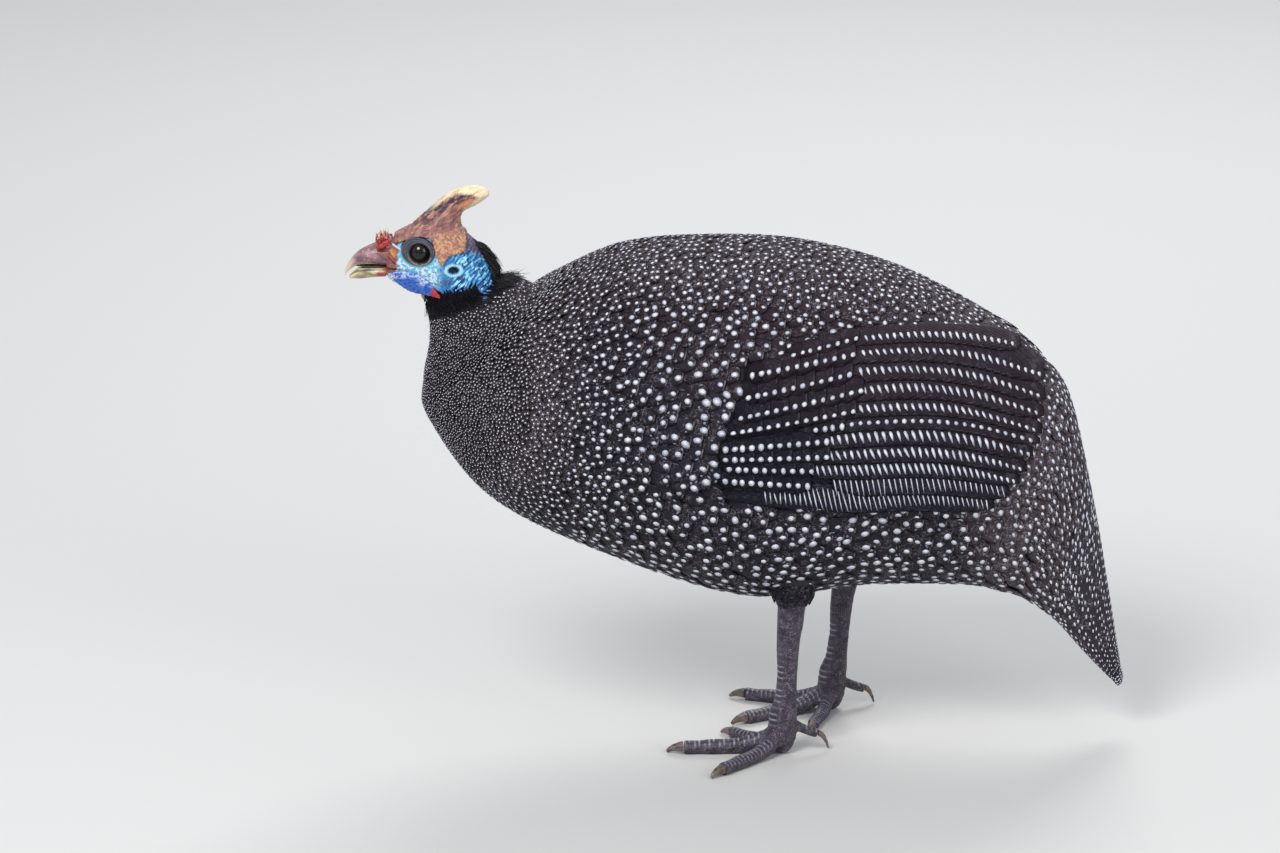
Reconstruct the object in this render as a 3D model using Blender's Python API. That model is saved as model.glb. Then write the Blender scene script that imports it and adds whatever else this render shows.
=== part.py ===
"""A life-size helmeted guinea fowl that stands hunched, as one closed solid for each part of the bird.

Metres, +Z up. The bill points towards -X, the bird's left side is -Y, and the feet stand on z = 0.
"""

import math
import random

import bmesh
import bpy
from mathutils import Vector

MM = 0.001
GAP = 0.3 * MM
SUNK = 1.5 * MM  # how far a piece starts below the surface that cuts it
NORMAL_STEP = 0.01  # in sections and in radians, for the slopes that give a normal
HALVINGS = 40  # steps of the search for the section through a point
SHARP_ANGLE = 50  # degrees from which an edge is shaded as sharp

# Sections of the bird from the bill's root to the tip of the tail, in mm. Each lies in an upright plane
# that holds Y and is given by its highest point, its lowest point and half its width.
SECTIONS = (
    # top x, top z, bottom x, bottom z, half width, pear: how much narrower it is above than below
    (-190.7, 282.8, -192.2, 262.3, 7.0, -0.10),
    (-186.2, 285.3, -187.2, 259.3, 9.0, -0.12),
    (-178.7, 289.3, -181.2, 255.8, 11.5, -0.16),
    (-170.2, 292.8, -176.2, 253.3, 13.5, -0.18),
    (-160.2, 292.8, -173.2, 251.8, 14.8, -0.16),
    (-150.2, 288.8, -171.7, 250.3, 15.5, -0.12),
    (-140.7, 280.3, -170.7, 248.3, 15.5, -0.06),
    (-134.2, 271.3, -170.2, 247.3, 16.0, 0.00),
    (-130.5, 261.5, -170.0, 246.0, 17.0, 0.00),
    (-119.0, 260.5, -168.0, 238.5, 21.5, 0.03),
    (-110.0, 256.5, -168.0, 225.0, 27.5, 0.05),
    (-103.5, 258.0, -171.5, 204.0, 36.0, 0.07),
    (-93.0, 266.0, -169.0, 183.5, 46.0, 0.07),
    (-61.0, 280.0, -135.5, 139.5, 62.0, 0.07),
    (-17.0, 284.0, -73.0, 107.5, 72.0, 0.07),
    (35.0, 281.5, 4.5, 83.0, 75.0, 0.07),
    (90.5, 266.0, 70.0, 89.0, 70.0, 0.07),
    (145.0, 236.5, 123.0, 88.5, 56.0, 0.07),
    (167.0, 217.0, 145.0, 84.0, 47.0, 0.05),
    (182.5, 195.0, 159.0, 79.0, 38.0, 0.03),
    (195.5, 140.5, 177.0, 66.0, 23.0, 0.00),
    (205.0, 86.0, 195.0, 46.5, 12.5, 0.00),
    (212.0, 44.0, 208.0, 33.0, 6.0, 0.00),
    (215.5, 31.0, 213.5, 26.5, 3.5, 0.00),
)
NECK_CUT = 8.35  # the sections, counted from the bill, where the parts meet
TORSO_CUT = 11.3
TAIL_CUT = 19.2

# The casque: front edge x, z, back edge x, z and half its thickness, from the skull to the tip, in mm.
CASQUE = (
    (-184.8, 281.4, -149.3, 277.9, 8.0),
    (-181.8, 287.4, -148.3, 283.4, 7.6),
    (-175.3, 293.9, -149.8, 288.9, 6.8),
    (-168.8, 299.7, -151.0, 294.4, 5.8),
    (-163.3, 304.9, -150.0, 298.4, 4.9),
    (-157.3, 309.5, -146.6, 300.7, 4.3),
    (-150.3, 312.5, -142.4, 302.5, 3.9),
    (-143.8, 313.5, -139.4, 304.7, 3.4),
    (-138.0, 312.3, -136.8, 306.5, 2.4),
    (-135.4, 309.9, -135.4, 307.9, 1.1),
)
# The outline of the casque's shield on the side of the head, x and z in mm.
SHIELD = (
    (-186.7, 282.8),
    (-182.2, 284.4),
    (-177.7, 286.4),
    (-172.7, 287.6),
    (-167.8, 287.2),
    (-165.4, 284.4),
    (-164.4, 280.4),
    (-163.2, 276.8),
    (-160.5, 272.4),
    (-157.0, 277.8),
    (-152.4, 278.6),
    (-148.5, 279.8),
    (-147.5, 283.8),
    (-150.2, 297.8),
    (-186.7, 297.8),
)
SHIELD_THICKNESS = 1.3 * MM

# The bill's halves: top x, z, bottom x, z and half width, from the root to the tip, in mm.
UPPER_BILL = (
    (-189.6, 283.2, -191.6, 267.8, 6.9),
    (-192.9, 283.2, -193.4, 268.2, 6.7),
    (-197.7, 281.4, -198.0, 268.6, 6.2),
    (-202.4, 279.4, -202.6, 268.6, 5.3),
    (-206.9, 276.6, -207.0, 267.8, 4.2),
    (-210.7, 272.6, -210.7, 266.4, 2.9),
    (-213.4, 267.8, -213.2, 264.0, 1.7),
    (-214.4, 264.2, -214.2, 262.4, 0.8),
)
LOWER_BILL = (
    (-191.4, 267.0, -191.6, 262.2, 6.3),
    (-197.4, 266.4, -197.4, 261.6, 5.4),
    (-202.9, 265.6, -202.9, 260.8, 4.2),
    (-208.4, 263.8, -208.4, 260.4, 2.8),
    (-212.0, 261.6, -212.0, 260.2, 1.2),
)
NOSTRIL = (-194.0, 5.9, 278.2)
NOSTRIL_SIZE = (2.6, 1.4, 1.2)  # half length, half width, half height, mm
NOSTRIL_FLAP = (-193.4, 5.4, 280.4)
NOSTRIL_FLAP_SIZE = (4.0, 1.8, 1.3)
MOUTH = (-189.7, 267.4)  # the middle of the gape's slit in the head
MOUTH_SIZE = (6.0, 16.0, 0.7)

EYE_CENTRE = (-173.4, 8.2, 279.2)  # mm, on the bird's right side; the left one is its mirror image
EYE_RADIUS = 6.4 * MM
LID_RADIUS, LID_THICKNESS = 6.2 * MM, 1.1 * MM
LID_FORWARD = 4.2 * MM  # from the middle of the eye to the plane of its lids
EAR_CENTRE = (-155.2, 269.2)
EAR_RADII = (2.8, 1.9)  # half length and half height of its opening, mm
EAR_RIM = 0.9 * MM

# The wattle's centre line from the gape to its tip: x, z, half height and half thickness, in mm.
WATTLE = (
    (-187.7, 265.4, 2.2, 0.8),
    (-182.7, 263.2, 5.4, 1.3),
    (-176.7, 261.4, 6.6, 1.6),
    (-170.7, 259.6, 5.6, 1.4),
    (-165.7, 257.0, 3.2, 1.0),
    (-161.8, 254.0, 0.9, 0.5),
)

# The folded wing, from the wrist to its tip: x, top z and bottom z on the bird's flank, in mm.
WING = (
    (-74.0, 210.0, 190.0),
    (-64.0, 228.0, 171.0),
    (-31.0, 241.0, 162.0),
    (13.0, 245.0, 156.0),
    (62.0, 240.0, 149.0),
    (101.0, 222.0, 144.0),
    (134.0, 198.0, 140.0),
    (154.0, 176.0, 142.0),
    (163.0, 160.0, 148.0),
)
WING_CORE = 2.2 * MM

# Tiers of wing vanes: name, count, top root, bottom root, top tip, bottom tip, rise of the top and of
# the bottom vane's middle over its chord, width and lift of the tier, in mm and x, z on the flank, and
# how many lengths each vane has.
WING_TIERS = (
    ("primaries", 3, (-2, 158), (-4, 152), (163, 147), (148, 140), 3, 1, 15, 0.9, 3),
    ("secondaries", 6, (40, 242), (18, 166), (166, 172), (146, 149), 24, 3, 23, 1.7, 4),
    ("greater_coverts", 6, (-28, 238), (-48, 174), (56, 243), (36, 169), 4, -1, 21, 2.5, 3),
    ("median_coverts", 5, (-60, 223), (-66, 184), (-12, 243), (-26, 169), 5, -2, 20, 3.1, 2),
    ("lesser_coverts", 3, (-73, 209), (-74, 194), (-42, 235), (-50, 169), 4, -2, 19, 3.6, 2),
)
# Tiers of tail vanes: the section of root and tip, how many around, how far round from the top of the
# back they reach in degrees, width in mm, and the lift in mm.
TAIL_TIERS = (
    (19.8, 23.0, 10, 171.0, 15.4, 0.0),
    (19.45, 20.9, 10, 171.0, 21.6, 0.9),
)
TAIL_CORE_INSET = 1.2 * MM
VANE_THICKNESS = 0.75 * MM
POKE_ROUNDS = 4  # how often faces whose diagonals coincide are looked for

# The nape's crest of narrow black feathers, as tapered locks in rows down the back of the head.
NAPE_ROWS, NAPE_ACROSS = 4, 5
NAPE_REACH = (6.0, 7.3)  # the sections of its first and last row
NAPE_SPREAD = 0.75  # how far round it reaches on each side, in radians
NAPE_LENGTH = 10.5 * MM
NAPE_WIDTH = 3.2 * MM
BRISTLES = 7  # the small tuft over the nostrils
BRISTLE_LENGTH = 3.0 * MM

# The legs: where the ankle and the hock stand, x and y in mm, and how far the foot turns in, in degrees.
LEGS = {
    "left": {"foot": (28.0, -37.0), "hock": (30.5, -37.0), "turn": 0.0},
    "right": {"foot": (57.0, 37.0), "hock": (63.5, 37.0), "turn": 30.0},
}
HOCK_HEIGHT = 89.0 * MM
ANKLE_HEIGHT = 9.0 * MM
TARSUS_CUT = 24.0 * MM
# The tarsus: the share of its height, half its width and how far it stands forward of the leg's line, in mm.
TARSUS = (
    (0.0, 7.2, 2.8),
    (0.17, 7.1, 2.8),
    (0.30, 5.4, 1.5),
    (0.45, 5.0, 1.2),
    (0.65, 5.7, 1.5),
    (0.88, 6.8, 0.5),
    (1.0, 7.2, 0.0),
)
TARSUS_DEPTH = (1.12, 0.88)  # its half depth fore and aft and its half width, against the table
THIGH_TOP, THIGH_TOP_RADIUS = 124.0 * MM, 17.0 * MM
THIGH_FOOT_RADIUS = 7.6 * MM
THIGH_DEPTH = 1.15  # how much deeper fore and aft than it is wide
PAD = (7.4, 7.2, 9.4)  # half sizes of the pad under the ankle, mm
# Toes: angle outwards from straight ahead in degrees, length, radius at the root and at the tip, joints,
# height of the root's middle and of the end's underside over the floor, in mm, and the share of its
# length over which it comes down.
TOES = {
    "middle": (2.0, 54.0, 5.2, 4.0, 3, 14.0, 0.0, 0.5),
    "outer": (48.5, 50.0, 4.8, 3.8, 3, 13.0, 0.0, 0.5),
    "inner": (-43.0, 37.0, 4.5, 3.4, 2, 13.0, 0.0, 0.5),
    "hind": (-170.0, 20.0, 3.4, 2.5, 1, 21.0, 7.0, 1.4),
}
CLAW_CLEARANCE = 0.15 * MM
CLAW_LENGTH = {"middle": 11.0, "outer": 11.0, "inner": 9.5, "hind": 7.0}
FLAT = 0.5 * MM  # how much of each toe's round underside is pressed flat on the floor

SKIN = ((0.07, 0.30, 0.62), 0.45)
PLUMAGE = ((0.03, 0.03, 0.04), 0.6)
HORN = ((0.42, 0.25, 0.16), 0.5)
BILL = ((0.47, 0.33, 0.28), 0.4)
SCALES = ((0.10, 0.10, 0.12), 0.55)
CLAW = ((0.16, 0.14, 0.13), 0.4)
EYE = ((0.02, 0.015, 0.015), 0.05)


def clear_scene():
    """Removes whatever the scene holds."""
    for obj in list(bpy.data.objects):
        bpy.data.objects.remove(obj)


def material(name, look):
    """A Principled material of one colour and roughness."""
    colour, roughness = look
    made = bpy.data.materials.get(name) or bpy.data.materials.new(name)
    made.use_nodes = True
    shader = made.node_tree.nodes["Principled BSDF"]
    shader.inputs["Base Color"].default_value = (*colour, 1.0)
    shader.inputs["Roughness"].default_value = roughness
    shader.inputs["Metallic"].default_value = 0.0
    return made


def collection(name):
    """A new collection in the scene."""
    made = bpy.data.collections.new(name)
    bpy.context.scene.collection.children.link(made)
    return made


def row_at(rows, u):
    """The row of numbers at place u along the rows, on a smooth curve through them."""
    last = len(rows) - 1
    u = min(max(u, 0.0), float(last))
    i = min(int(u), last - 1)
    t = u - i
    a, b, c, d = (rows[min(max(k, 0), last)] for k in (i - 1, i, i + 1, i + 2))
    return [
        0.5 * (2 * q + (r - p) * t + (2 * p - 5 * q + 4 * r - s) * t**2 + (3 * q - p - 3 * r + s) * t**3)
        for p, q, r, s in zip(a, b, c, d)
    ]


def section_point(rows, u, angle):
    """A point on the lofted rows: angle 0 is the top, and a positive one goes down the left side."""
    row = row_at(rows, u)
    top_x, top_z, bottom_x, bottom_z, half = (value * MM for value in row[:5])
    pear = row[5] if len(row) > 5 else 0.0
    up = math.cos(angle)
    return Vector(
        (
            (top_x + bottom_x) / 2 + up * (top_x - bottom_x) / 2,
            -half * math.sin(angle) * (1 - pear * up),
            (top_z + bottom_z) / 2 + up * (top_z - bottom_z) / 2,
        )
    )


def body_point(u, angle, out=0.0):
    """A point on the bird's skin of feathers, moved out along the surface's normal."""
    here = section_point(SECTIONS, u, angle)
    if not out:
        return here
    step = NORMAL_STEP
    along = section_point(SECTIONS, u + step, angle) - section_point(SECTIONS, u - step, angle)
    round_it = section_point(SECTIONS, u, angle + step) - section_point(SECTIONS, u, angle - step)
    return here + out * along.cross(round_it).normalized() * -1


def flank_place(x, z):
    """The section and the angle at which a point of the side view lies on the left flank."""
    low, high = float(TORSO_CUT) - 1.0, len(SECTIONS) - 1.0

    def side_of(u):
        top_x, top_z, bottom_x, bottom_z = (value * MM for value in row_at(SECTIONS, u)[:4])
        return (bottom_x - top_x) * (z - top_z) - (bottom_z - top_z) * (x - top_x)

    for _ in range(HALVINGS):
        middle = (low + high) / 2
        low, high = (middle, high) if side_of(middle) > 0 else (low, middle)
    top_x, top_z, bottom_x, bottom_z = (value * MM for value in row_at(SECTIONS, low)[:4])
    spread = (top_x - bottom_x) ** 2 + (top_z - bottom_z) ** 2
    share = ((x - bottom_x) * (top_x - bottom_x) + (z - bottom_z) * (top_z - bottom_z)) / spread
    return low, math.acos(min(max(2 * share - 1, -0.99), 0.99))


def flank_point(x, z, side, out):
    """The point of the side view on the flank of one side, -1 left or 1 right, moved out from it."""
    u, angle = flank_place(x, z)
    point = body_point(u, angle, out)
    point.y *= -side
    return point


def mesh_object(name, rings, home, look):
    """An object lofted through rings of equally many points, with its two ends closed."""
    shape = bmesh.new()
    rows = [[shape.verts.new(point) for point in ring] for ring in rings]
    sides = len(rows[0])
    for near, far in zip(rows, rows[1:]):
        for i in range(sides):
            j = (i + 1) % sides
            shape.faces.new((near[i], near[j], far[j], far[i]))
    shape.faces.new(rows[0])
    shape.faces.new(reversed(rows[-1]))
    bmesh.ops.remove_doubles(shape, verts=shape.verts, dist=0.00001)
    bmesh.ops.recalc_face_normals(shape, faces=shape.faces)
    return object_from(name, shape, home, look)


def object_from(name, shape, home, look):
    """An object that holds a bmesh, which is freed."""
    mesh = bpy.data.meshes.new(name)
    shape.to_mesh(mesh)
    shape.free()
    obj = bpy.data.objects.new(name, mesh)
    home.objects.link(obj)
    if look:
        mesh.materials.append(look)
    return obj


def lofted(name, rows, home, look, rings, sides):
    """A closed loft through rows of sections."""
    last = len(rows) - 1
    loops = [
        [section_point(rows, last * k / rings, 2 * math.pi * i / sides) for i in range(sides)]
        for k in range(rings + 1)
    ]
    return mesh_object(name, loops, home, look)


def closed(mesh):
    """Whether each edge of the mesh lies between two of its faces."""
    shape = bmesh.new()
    shape.from_mesh(mesh)
    sound = all(edge.is_manifold for edge in shape.edges)
    shape.free()
    return sound


def combine(obj, others, operation):
    """One Boolean between an object and a list of closed mesh objects, which are then removed."""
    group = bpy.data.collections.new("operands")
    bpy.context.scene.collection.children.link(group)
    for other in others:
        for home in list(other.users_collection):
            home.objects.unlink(other)
        group.objects.link(other)
    modifier = obj.modifiers.new("combine", "BOOLEAN")
    modifier.operation = operation
    modifier.operand_type = "COLLECTION"
    modifier.collection = group
    graph = bpy.context.evaluated_depsgraph_get()
    for solver in ("EXACT", "MANIFOLD"):
        modifier.solver = solver
        graph.update()
        mesh = bpy.data.meshes.new_from_object(obj.evaluated_get(graph))
        if closed(mesh):
            break
    obj.modifiers.clear()
    obj.data = mesh
    for other in others:
        bpy.data.objects.remove(other)
    bpy.data.collections.remove(group)
    keep_largest(obj)


def keep_largest(obj, in_triangles=False):
    """Leaves only the largest closed surface of the object's mesh, cut into triangles first if asked."""
    shape = bmesh.new()
    shape.from_mesh(obj.data)
    if in_triangles:
        cut_into_triangles(shape)
    left, shells = set(shape.faces), []
    while left:
        shell, front = set(), [left.pop()]
        while front:
            face = front.pop()
            shell.add(face)
            edges = [edge for edge in face.edges if len(edge.link_faces) == 2]
            for near in {other for edge in edges for other in edge.link_faces}:
                if near in left:
                    left.discard(near)
                    front.append(near)
        shells.append(shell)
    largest = max(shells, key=box_volume)
    loose = [face for shell in shells if shell is not largest for face in shell]
    bmesh.ops.delete(shape, geom=loose, context="FACES")
    shape.to_mesh(obj.data)
    shape.free()


def cut_into_triangles(shape):
    """Cuts all faces into triangles, with a middle point in those whose diagonals would coincide."""
    for _ in range(POKE_ROUNDS):
        shape.verts.index_update()
        trial = shape.copy()
        bmesh.ops.triangulate(trial, faces=trial.faces)
        crowded = [
            tuple(vertex.index for vertex in edge.verts)
            for edge in trial.edges
            if len(edge.link_faces) > 2
        ]
        trial.free()
        if not crowded:
            break
        shape.verts.ensure_lookup_table()
        chosen = set()
        for first, second in crowded:
            sharing = set(shape.verts[first].link_faces) & set(shape.verts[second].link_faces)
            wide = [face for face in sharing if len(face.verts) > 3 and sees_its_rim(face)]
            if wide:
                chosen.add(min(wide, key=lambda face: len(face.verts)))
        bmesh.ops.poke(shape, faces=list(chosen))
    bmesh.ops.triangulate(shape, faces=shape.faces)


def sees_its_rim(face):
    """Whether straight lines from the middle of a face reach its whole rim inside it."""
    middle = face.calc_center_median()
    corners = [vertex.co for vertex in face.verts]
    return all(
        (near - middle).cross(far - middle).dot(face.normal) > 0.0
        for near, far in zip(corners, corners[1:] + corners[:1])
    )


def box_volume(shell):
    """The volume of the box round a set of faces."""
    size = 1.0
    points = [vertex.co for face in shell for vertex in face.verts]
    for axis in range(3):
        places = [point[axis] for point in points]
        size *= max(places) - min(places)
    return size


def cut_by_plane(obj, point, normal):
    """Cuts away what lies on the normal's side of a plane and closes the cut."""
    shape = bmesh.new()
    shape.from_mesh(obj.data)
    everything = shape.verts[:] + shape.edges[:] + shape.faces[:]
    cut = bmesh.ops.bisect_plane(shape, geom=everything, plane_co=point, plane_no=normal, clear_outer=True)
    edges = [item for item in cut["geom_cut"] if isinstance(item, bmesh.types.BMEdge)]
    bmesh.ops.holes_fill(shape, edges=[edge for edge in edges if edge.is_boundary], sides=0)
    bmesh.ops.recalc_face_normals(shape, faces=shape.faces)
    shape.to_mesh(obj.data)
    shape.free()


def section_plane(u):
    """A point of a section's plane and its normal towards the tail."""
    top, bottom = section_point(SECTIONS, u, 0.0), section_point(SECTIONS, u, math.pi)
    along = (top - bottom).normalized()
    return (top + bottom) / 2, Vector((along.z, 0.0, -along.x))


def body_rings(first, last, count, sides=30, out=0.0):
    """Rings of points round the bird between two sections."""
    return [
        [
            body_point(first + (last - first) * k / count, 2 * math.pi * i / sides, out)
            for i in range(sides)
        ]
        for k in range(count + 1)
    ]


def head_rings(out=0.0):
    """Rings round the head, which reach past its cut, moved out from it."""
    return body_rings(0.0, NECK_CUT + 0.3, 15, 22, out)


def torso_rings(out=0.0):
    """Rings round the torso, which reach past its cuts, moved out from it."""
    return body_rings(TORSO_CUT - 0.3, TAIL_CUT + 0.3, 18, 26, out)


def body_piece(name, rings, first, last, home, look):
    """A length of the bird cut off square at two sections, with half the gap left at each cut end."""
    piece = mesh_object(name, rings, home, look)
    if first > 0.0:
        point, normal = section_plane(first)
        cut_by_plane(piece, point + normal * GAP / 2, -normal)
    point, normal = section_plane(last)
    cut_by_plane(piece, point - normal * GAP / 2, normal)
    keep_largest(piece)
    return piece


def ball(name, centre, radii, home, look, segments=20, rings=12):
    """An ellipsoid."""
    shape = bmesh.new()
    bmesh.ops.create_uvsphere(shape, u_segments=segments, v_segments=rings, radius=1.0)
    bmesh.ops.scale(shape, vec=radii, verts=shape.verts)
    bmesh.ops.translate(shape, vec=centre, verts=shape.verts)
    return object_from(name, shape, home, look)


def ring_tube(name, centre, radii, thickness, home, look, facing, turns=14):
    """An oval ring of round section, whose plane looks along facing."""
    up = (Vector((0.0, 0.0, 1.0)) - facing * facing.z).normalized()
    ahead = up.cross(facing)
    loops, sides = [], 5
    shape = bmesh.new()
    for i in range(turns):
        turn = 2 * math.pi * i / turns
        outward = ahead * math.cos(turn) + up * math.sin(turn)
        middle = Vector(centre) + ahead * radii[0] * math.cos(turn) + up * radii[1] * math.sin(turn)
        loops.append(
            [
                shape.verts.new(
                    middle
                    + thickness * math.cos(2 * math.pi * k / sides) * outward
                    + thickness * math.sin(2 * math.pi * k / sides) * facing
                )
                for k in range(sides)
            ]
        )
    for i in range(turns):
        near, far = loops[i], loops[(i + 1) % turns]
        for k in range(sides):
            n = (k + 1) % sides
            shape.faces.new((near[k], near[n], far[n], far[k]))
    bmesh.ops.recalc_face_normals(shape, faces=shape.faces)
    return object_from(name, shape, home, look)


def blade_object(name, spine, half_widths, home, look, thickness=VANE_THICKNESS):
    """A tapered blade: at each place of its spine a middle point, the way across it and the way out."""
    loops = []
    last = len(spine) - 1
    for k, ((middle, across, out), half) in enumerate(zip(spine, half_widths)):
        thin = 0.6 if k == last else 1.0
        left, right = middle - across * half, middle + across * half
        rise = out * thickness * thin / 2
        loops.append([left + rise, right + rise, right - rise, left - rise])
    return mesh_object(name, loops, home, look)


def taper(share, root=0.45, tip=0.30):
    """The outline of a vane: how wide it is at a share of its length."""
    swell = math.sin(math.pi * min(share * 0.9 + 0.12, 1.0)) ** 0.55
    return max(swell, root if share < 0.3 else tip)


def wing_vane(name, root, tip, rise, width, lift, side, steps, home, look):
    """One wing feather: a curved blade on the flank whose lower edge stands over its neighbour's."""
    chord = Vector((tip[0] - root[0], tip[1] - root[1]))
    normal = Vector((-chord.y, chord.x)).normalized()
    spine, halves = [], []
    for k in range(steps + 1):
        share = k / steps
        bow = 4 * share * (1 - share) * rise
        x = (root[0] + chord.x * share + normal.x * bow) * MM
        z = (root[1] + chord.y * share + normal.y * bow) * MM
        raised = lift * MM * (0.35 + 0.65 * min(share * 2.5, 1.0)) + GAP + VANE_THICKNESS
        slope = 4 * (1 - 2 * share) * rise
        way = Vector((chord.x + normal.x * slope, chord.y + normal.y * slope)).normalized()
        half = width * MM / 2 * taper(share)
        up = flank_point(x - way.y * half, z + way.x * half, side, raised - 0.5 * MM)
        down = flank_point(x + way.y * half, z - way.x * half, side, raised + 0.7 * MM)
        middle = flank_point(x, z, side, raised + 0.35 * MM)
        out = flank_point(x, z, side, raised + 2 * MM) - middle
        across = (down - up).normalized()
        spine.append((middle, across, out.normalized()))
        halves.append((down - up).length / 2)
    return blade_object(name, spine, halves, home, look)


def mix(first, second, share):
    """The point a share of the way between two points."""
    return tuple(p + (q - p) * share for p, q in zip(first, second))


def wing(side_name, side, home, look):
    """A folded wing: a thin core on the flank and its tiers of overlapping vanes."""
    loops, places, across = [], 9, 4
    for k in range(places + 1):
        x, top, bottom = row_at(WING, k * (len(WING) - 1) / places)
        heights = [top + (bottom - top) * i / across for i in range(across + 1)]
        fullness = [math.sin(math.pi * (0.12 + 0.76 * i / across)) for i in range(across + 1)]
        ends = 0.45 if k in (0, places) else 1.0
        outer = [
            flank_point(x * MM, z * MM, side, GAP + WING_CORE * full * ends)
            for z, full in zip(heights, fullness)
        ]
        inner = [flank_point(x * MM, z * MM, side, -SUNK) for z in reversed(heights)]
        loops.append(outer + inner)
    core = mesh_object(f"wing_{side_name}", loops, home, look)
    vanes = []
    for tier in WING_TIERS:
        feather, count, top_root, low_root, top_tip, low_tip, top_rise, low_rise, width, lift, steps = tier
        for i in range(count):
            share = 1 - i / (count - 1)
            vanes.append(
                wing_vane(
                    f"{feather}_{i}",
                    mix(top_root, low_root, share),
                    mix(top_tip, low_tip, share),
                    top_rise + (low_rise - top_rise) * share,
                    width,
                    lift + 0.12 * i / count,
                    side,
                    steps,
                    home,
                    look,
                )
            )
    combine(core, vanes, "UNION")
    combine(core, [mesh_object("flank", torso_rings(GAP), home, None)], "DIFFERENCE")
    return core


def tail(home, look):
    """The hanging tail: a slim core under its tiers of vanes, the longest ones at the tip."""
    end = len(SECTIONS) - 1.0
    core = mesh_object("tail", body_rings(TAIL_CUT - 0.2, end - 0.6, 7, 14, -TAIL_CORE_INSET), home, look)
    point, normal = section_plane(TAIL_CUT)
    cut_by_plane(core, point + normal * GAP / 2, -normal)
    vanes = []
    for row, (first, last, count, reach, width, lift) in enumerate(TAIL_TIERS):
        pitch = math.radians(reach) * 2 / count
        for i in range(count):
            angle = pitch * (i + 0.5 - count / 2)
            vanes.append(tail_vane(f"tail_{row}_{i}", first, last, angle, width, lift, pitch, home, look))
    combine(core, vanes, "UNION")
    return core


def tail_vane(name, first, last, angle, width, lift, pitch, home, look, steps=3):
    """One tail feather, which lies along the bird from one section to another."""
    spine, halves = [], []
    for k in range(steps + 1):
        share = k / steps
        u = first + (last - first) * share
        sunk = -TAIL_CORE_INSET + (lift + 0.4) * MM * (0.2 + 0.8 * min(share * 2.5, 1.0))
        middle = body_point(u, angle, sunk)
        out = (body_point(u, angle, sunk + MM) - middle).normalized()
        ahead = body_point(u + 0.05, angle, sunk) - body_point(u - 0.05, angle, sunk)
        across = out.cross(ahead).normalized()
        room = (body_point(u, angle + pitch / 2) - body_point(u, angle - pitch / 2)).length
        half = min(width * MM / 2 * taper(share), room * 0.64)
        tilt = math.copysign(0.58 * MM, angle)
        left, right = middle - across * half - out * tilt, middle + across * half + out * tilt
        spine.append((middle, (right - left).normalized(), out))
        halves.append(half)
    return blade_object(name, spine, halves, home, look)


def nape_lock(name, u, angle, length, width, rng, home):
    """One narrow nape feather that lies back along the neck and lifts at its tip."""
    root = body_point(u, angle, -1.5 * MM)
    out = (body_point(u, angle, MM) - body_point(u, angle, -1.5 * MM)).normalized()
    ahead = (body_point(u + 0.05, angle) - body_point(u - 0.05, angle)).normalized()
    across = out.cross(ahead).normalized()
    lean = (ahead + across * rng.uniform(-0.15, 0.15)).normalized()
    spine, halves = [], []
    for share, part in ((0.0, 0.8), (0.5, 1.0), (1.0, 0.16)):
        rise = (0.34 + 0.24 * share) * share * length
        middle = root + lean * length * 0.9 * share + out * (rise + 0.2 * MM)
        spine.append((middle, across, out))
        halves.append(width / 2 * part)
    return blade_object(name, spine, halves, home, None, 0.7 * MM)


def nape_locks(home):
    """The crest that runs down the nape in staggered rows, shorter towards the neck."""
    rng = random.Random(5)
    locks = []
    for row in range(NAPE_ROWS):
        share = row / (NAPE_ROWS - 1)
        u = NAPE_REACH[0] + (NAPE_REACH[1] - NAPE_REACH[0]) * share
        for i in range(NAPE_ACROSS):
            place = i - (NAPE_ACROSS - 1) / 2 + 0.5 * (row % 2) - 0.25
            angle = place * 2 * NAPE_SPREAD / NAPE_ACROSS
            length = NAPE_LENGTH * (1.1 - 0.35 * share) * rng.uniform(0.85, 1.1)
            locks.append(nape_lock(f"lock_{row}_{i}", u, angle, length, NAPE_WIDTH, rng, home))
    return locks


def head(home, look):
    """The bare head with its eye sockets, lids, ear openings, gape and the crest down its nape."""
    made = body_piece("head", head_rings(), 0.0, NECK_CUT, home, look)
    mouth = Vector((MOUTH[0] * MM, 0.0, MOUTH[1] * MM))
    holes = [ball("mouth", mouth, [size * MM for size in MOUTH_SIZE], home, None, 12, 4)]
    raised = nape_locks(home)
    for side in (-1, 1):
        centre = mirrored(EYE_CENTRE, side)
        socket = EYE_RADIUS + GAP
        holes.append(ball("socket", centre, (socket, socket, socket), home, None, 12, 8))
        raised.append(eyelid(side, home))
        ear = flank_of_head(EAR_CENTRE, side)
        opening = (EAR_RADII[0] * MM, 2.6 * MM, EAR_RADII[1] * MM)
        holes.append(ball("ear", ear, opening, home, None, 8, 5))
        rim = (opening[0] + 0.7 * MM, opening[2] + 0.7 * MM)
        raised.append(ring_tube("ear_rim", ear, rim, EAR_RIM, home, None, head_normal(EAR_CENTRE, side), 10))
    combine(made, raised, "UNION")
    combine(made, holes, "DIFFERENCE")
    return made


def eyelid(side, home):
    """The ring of the lids, which frames the eye where it comes out of the head."""
    facing = head_normal((EYE_CENTRE[0], EYE_CENTRE[2]), side)
    middle = mirrored(EYE_CENTRE, side) + facing * LID_FORWARD
    return ring_tube("lid", middle, (LID_RADIUS, LID_RADIUS * 0.92), LID_THICKNESS, home, None, facing)


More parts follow.
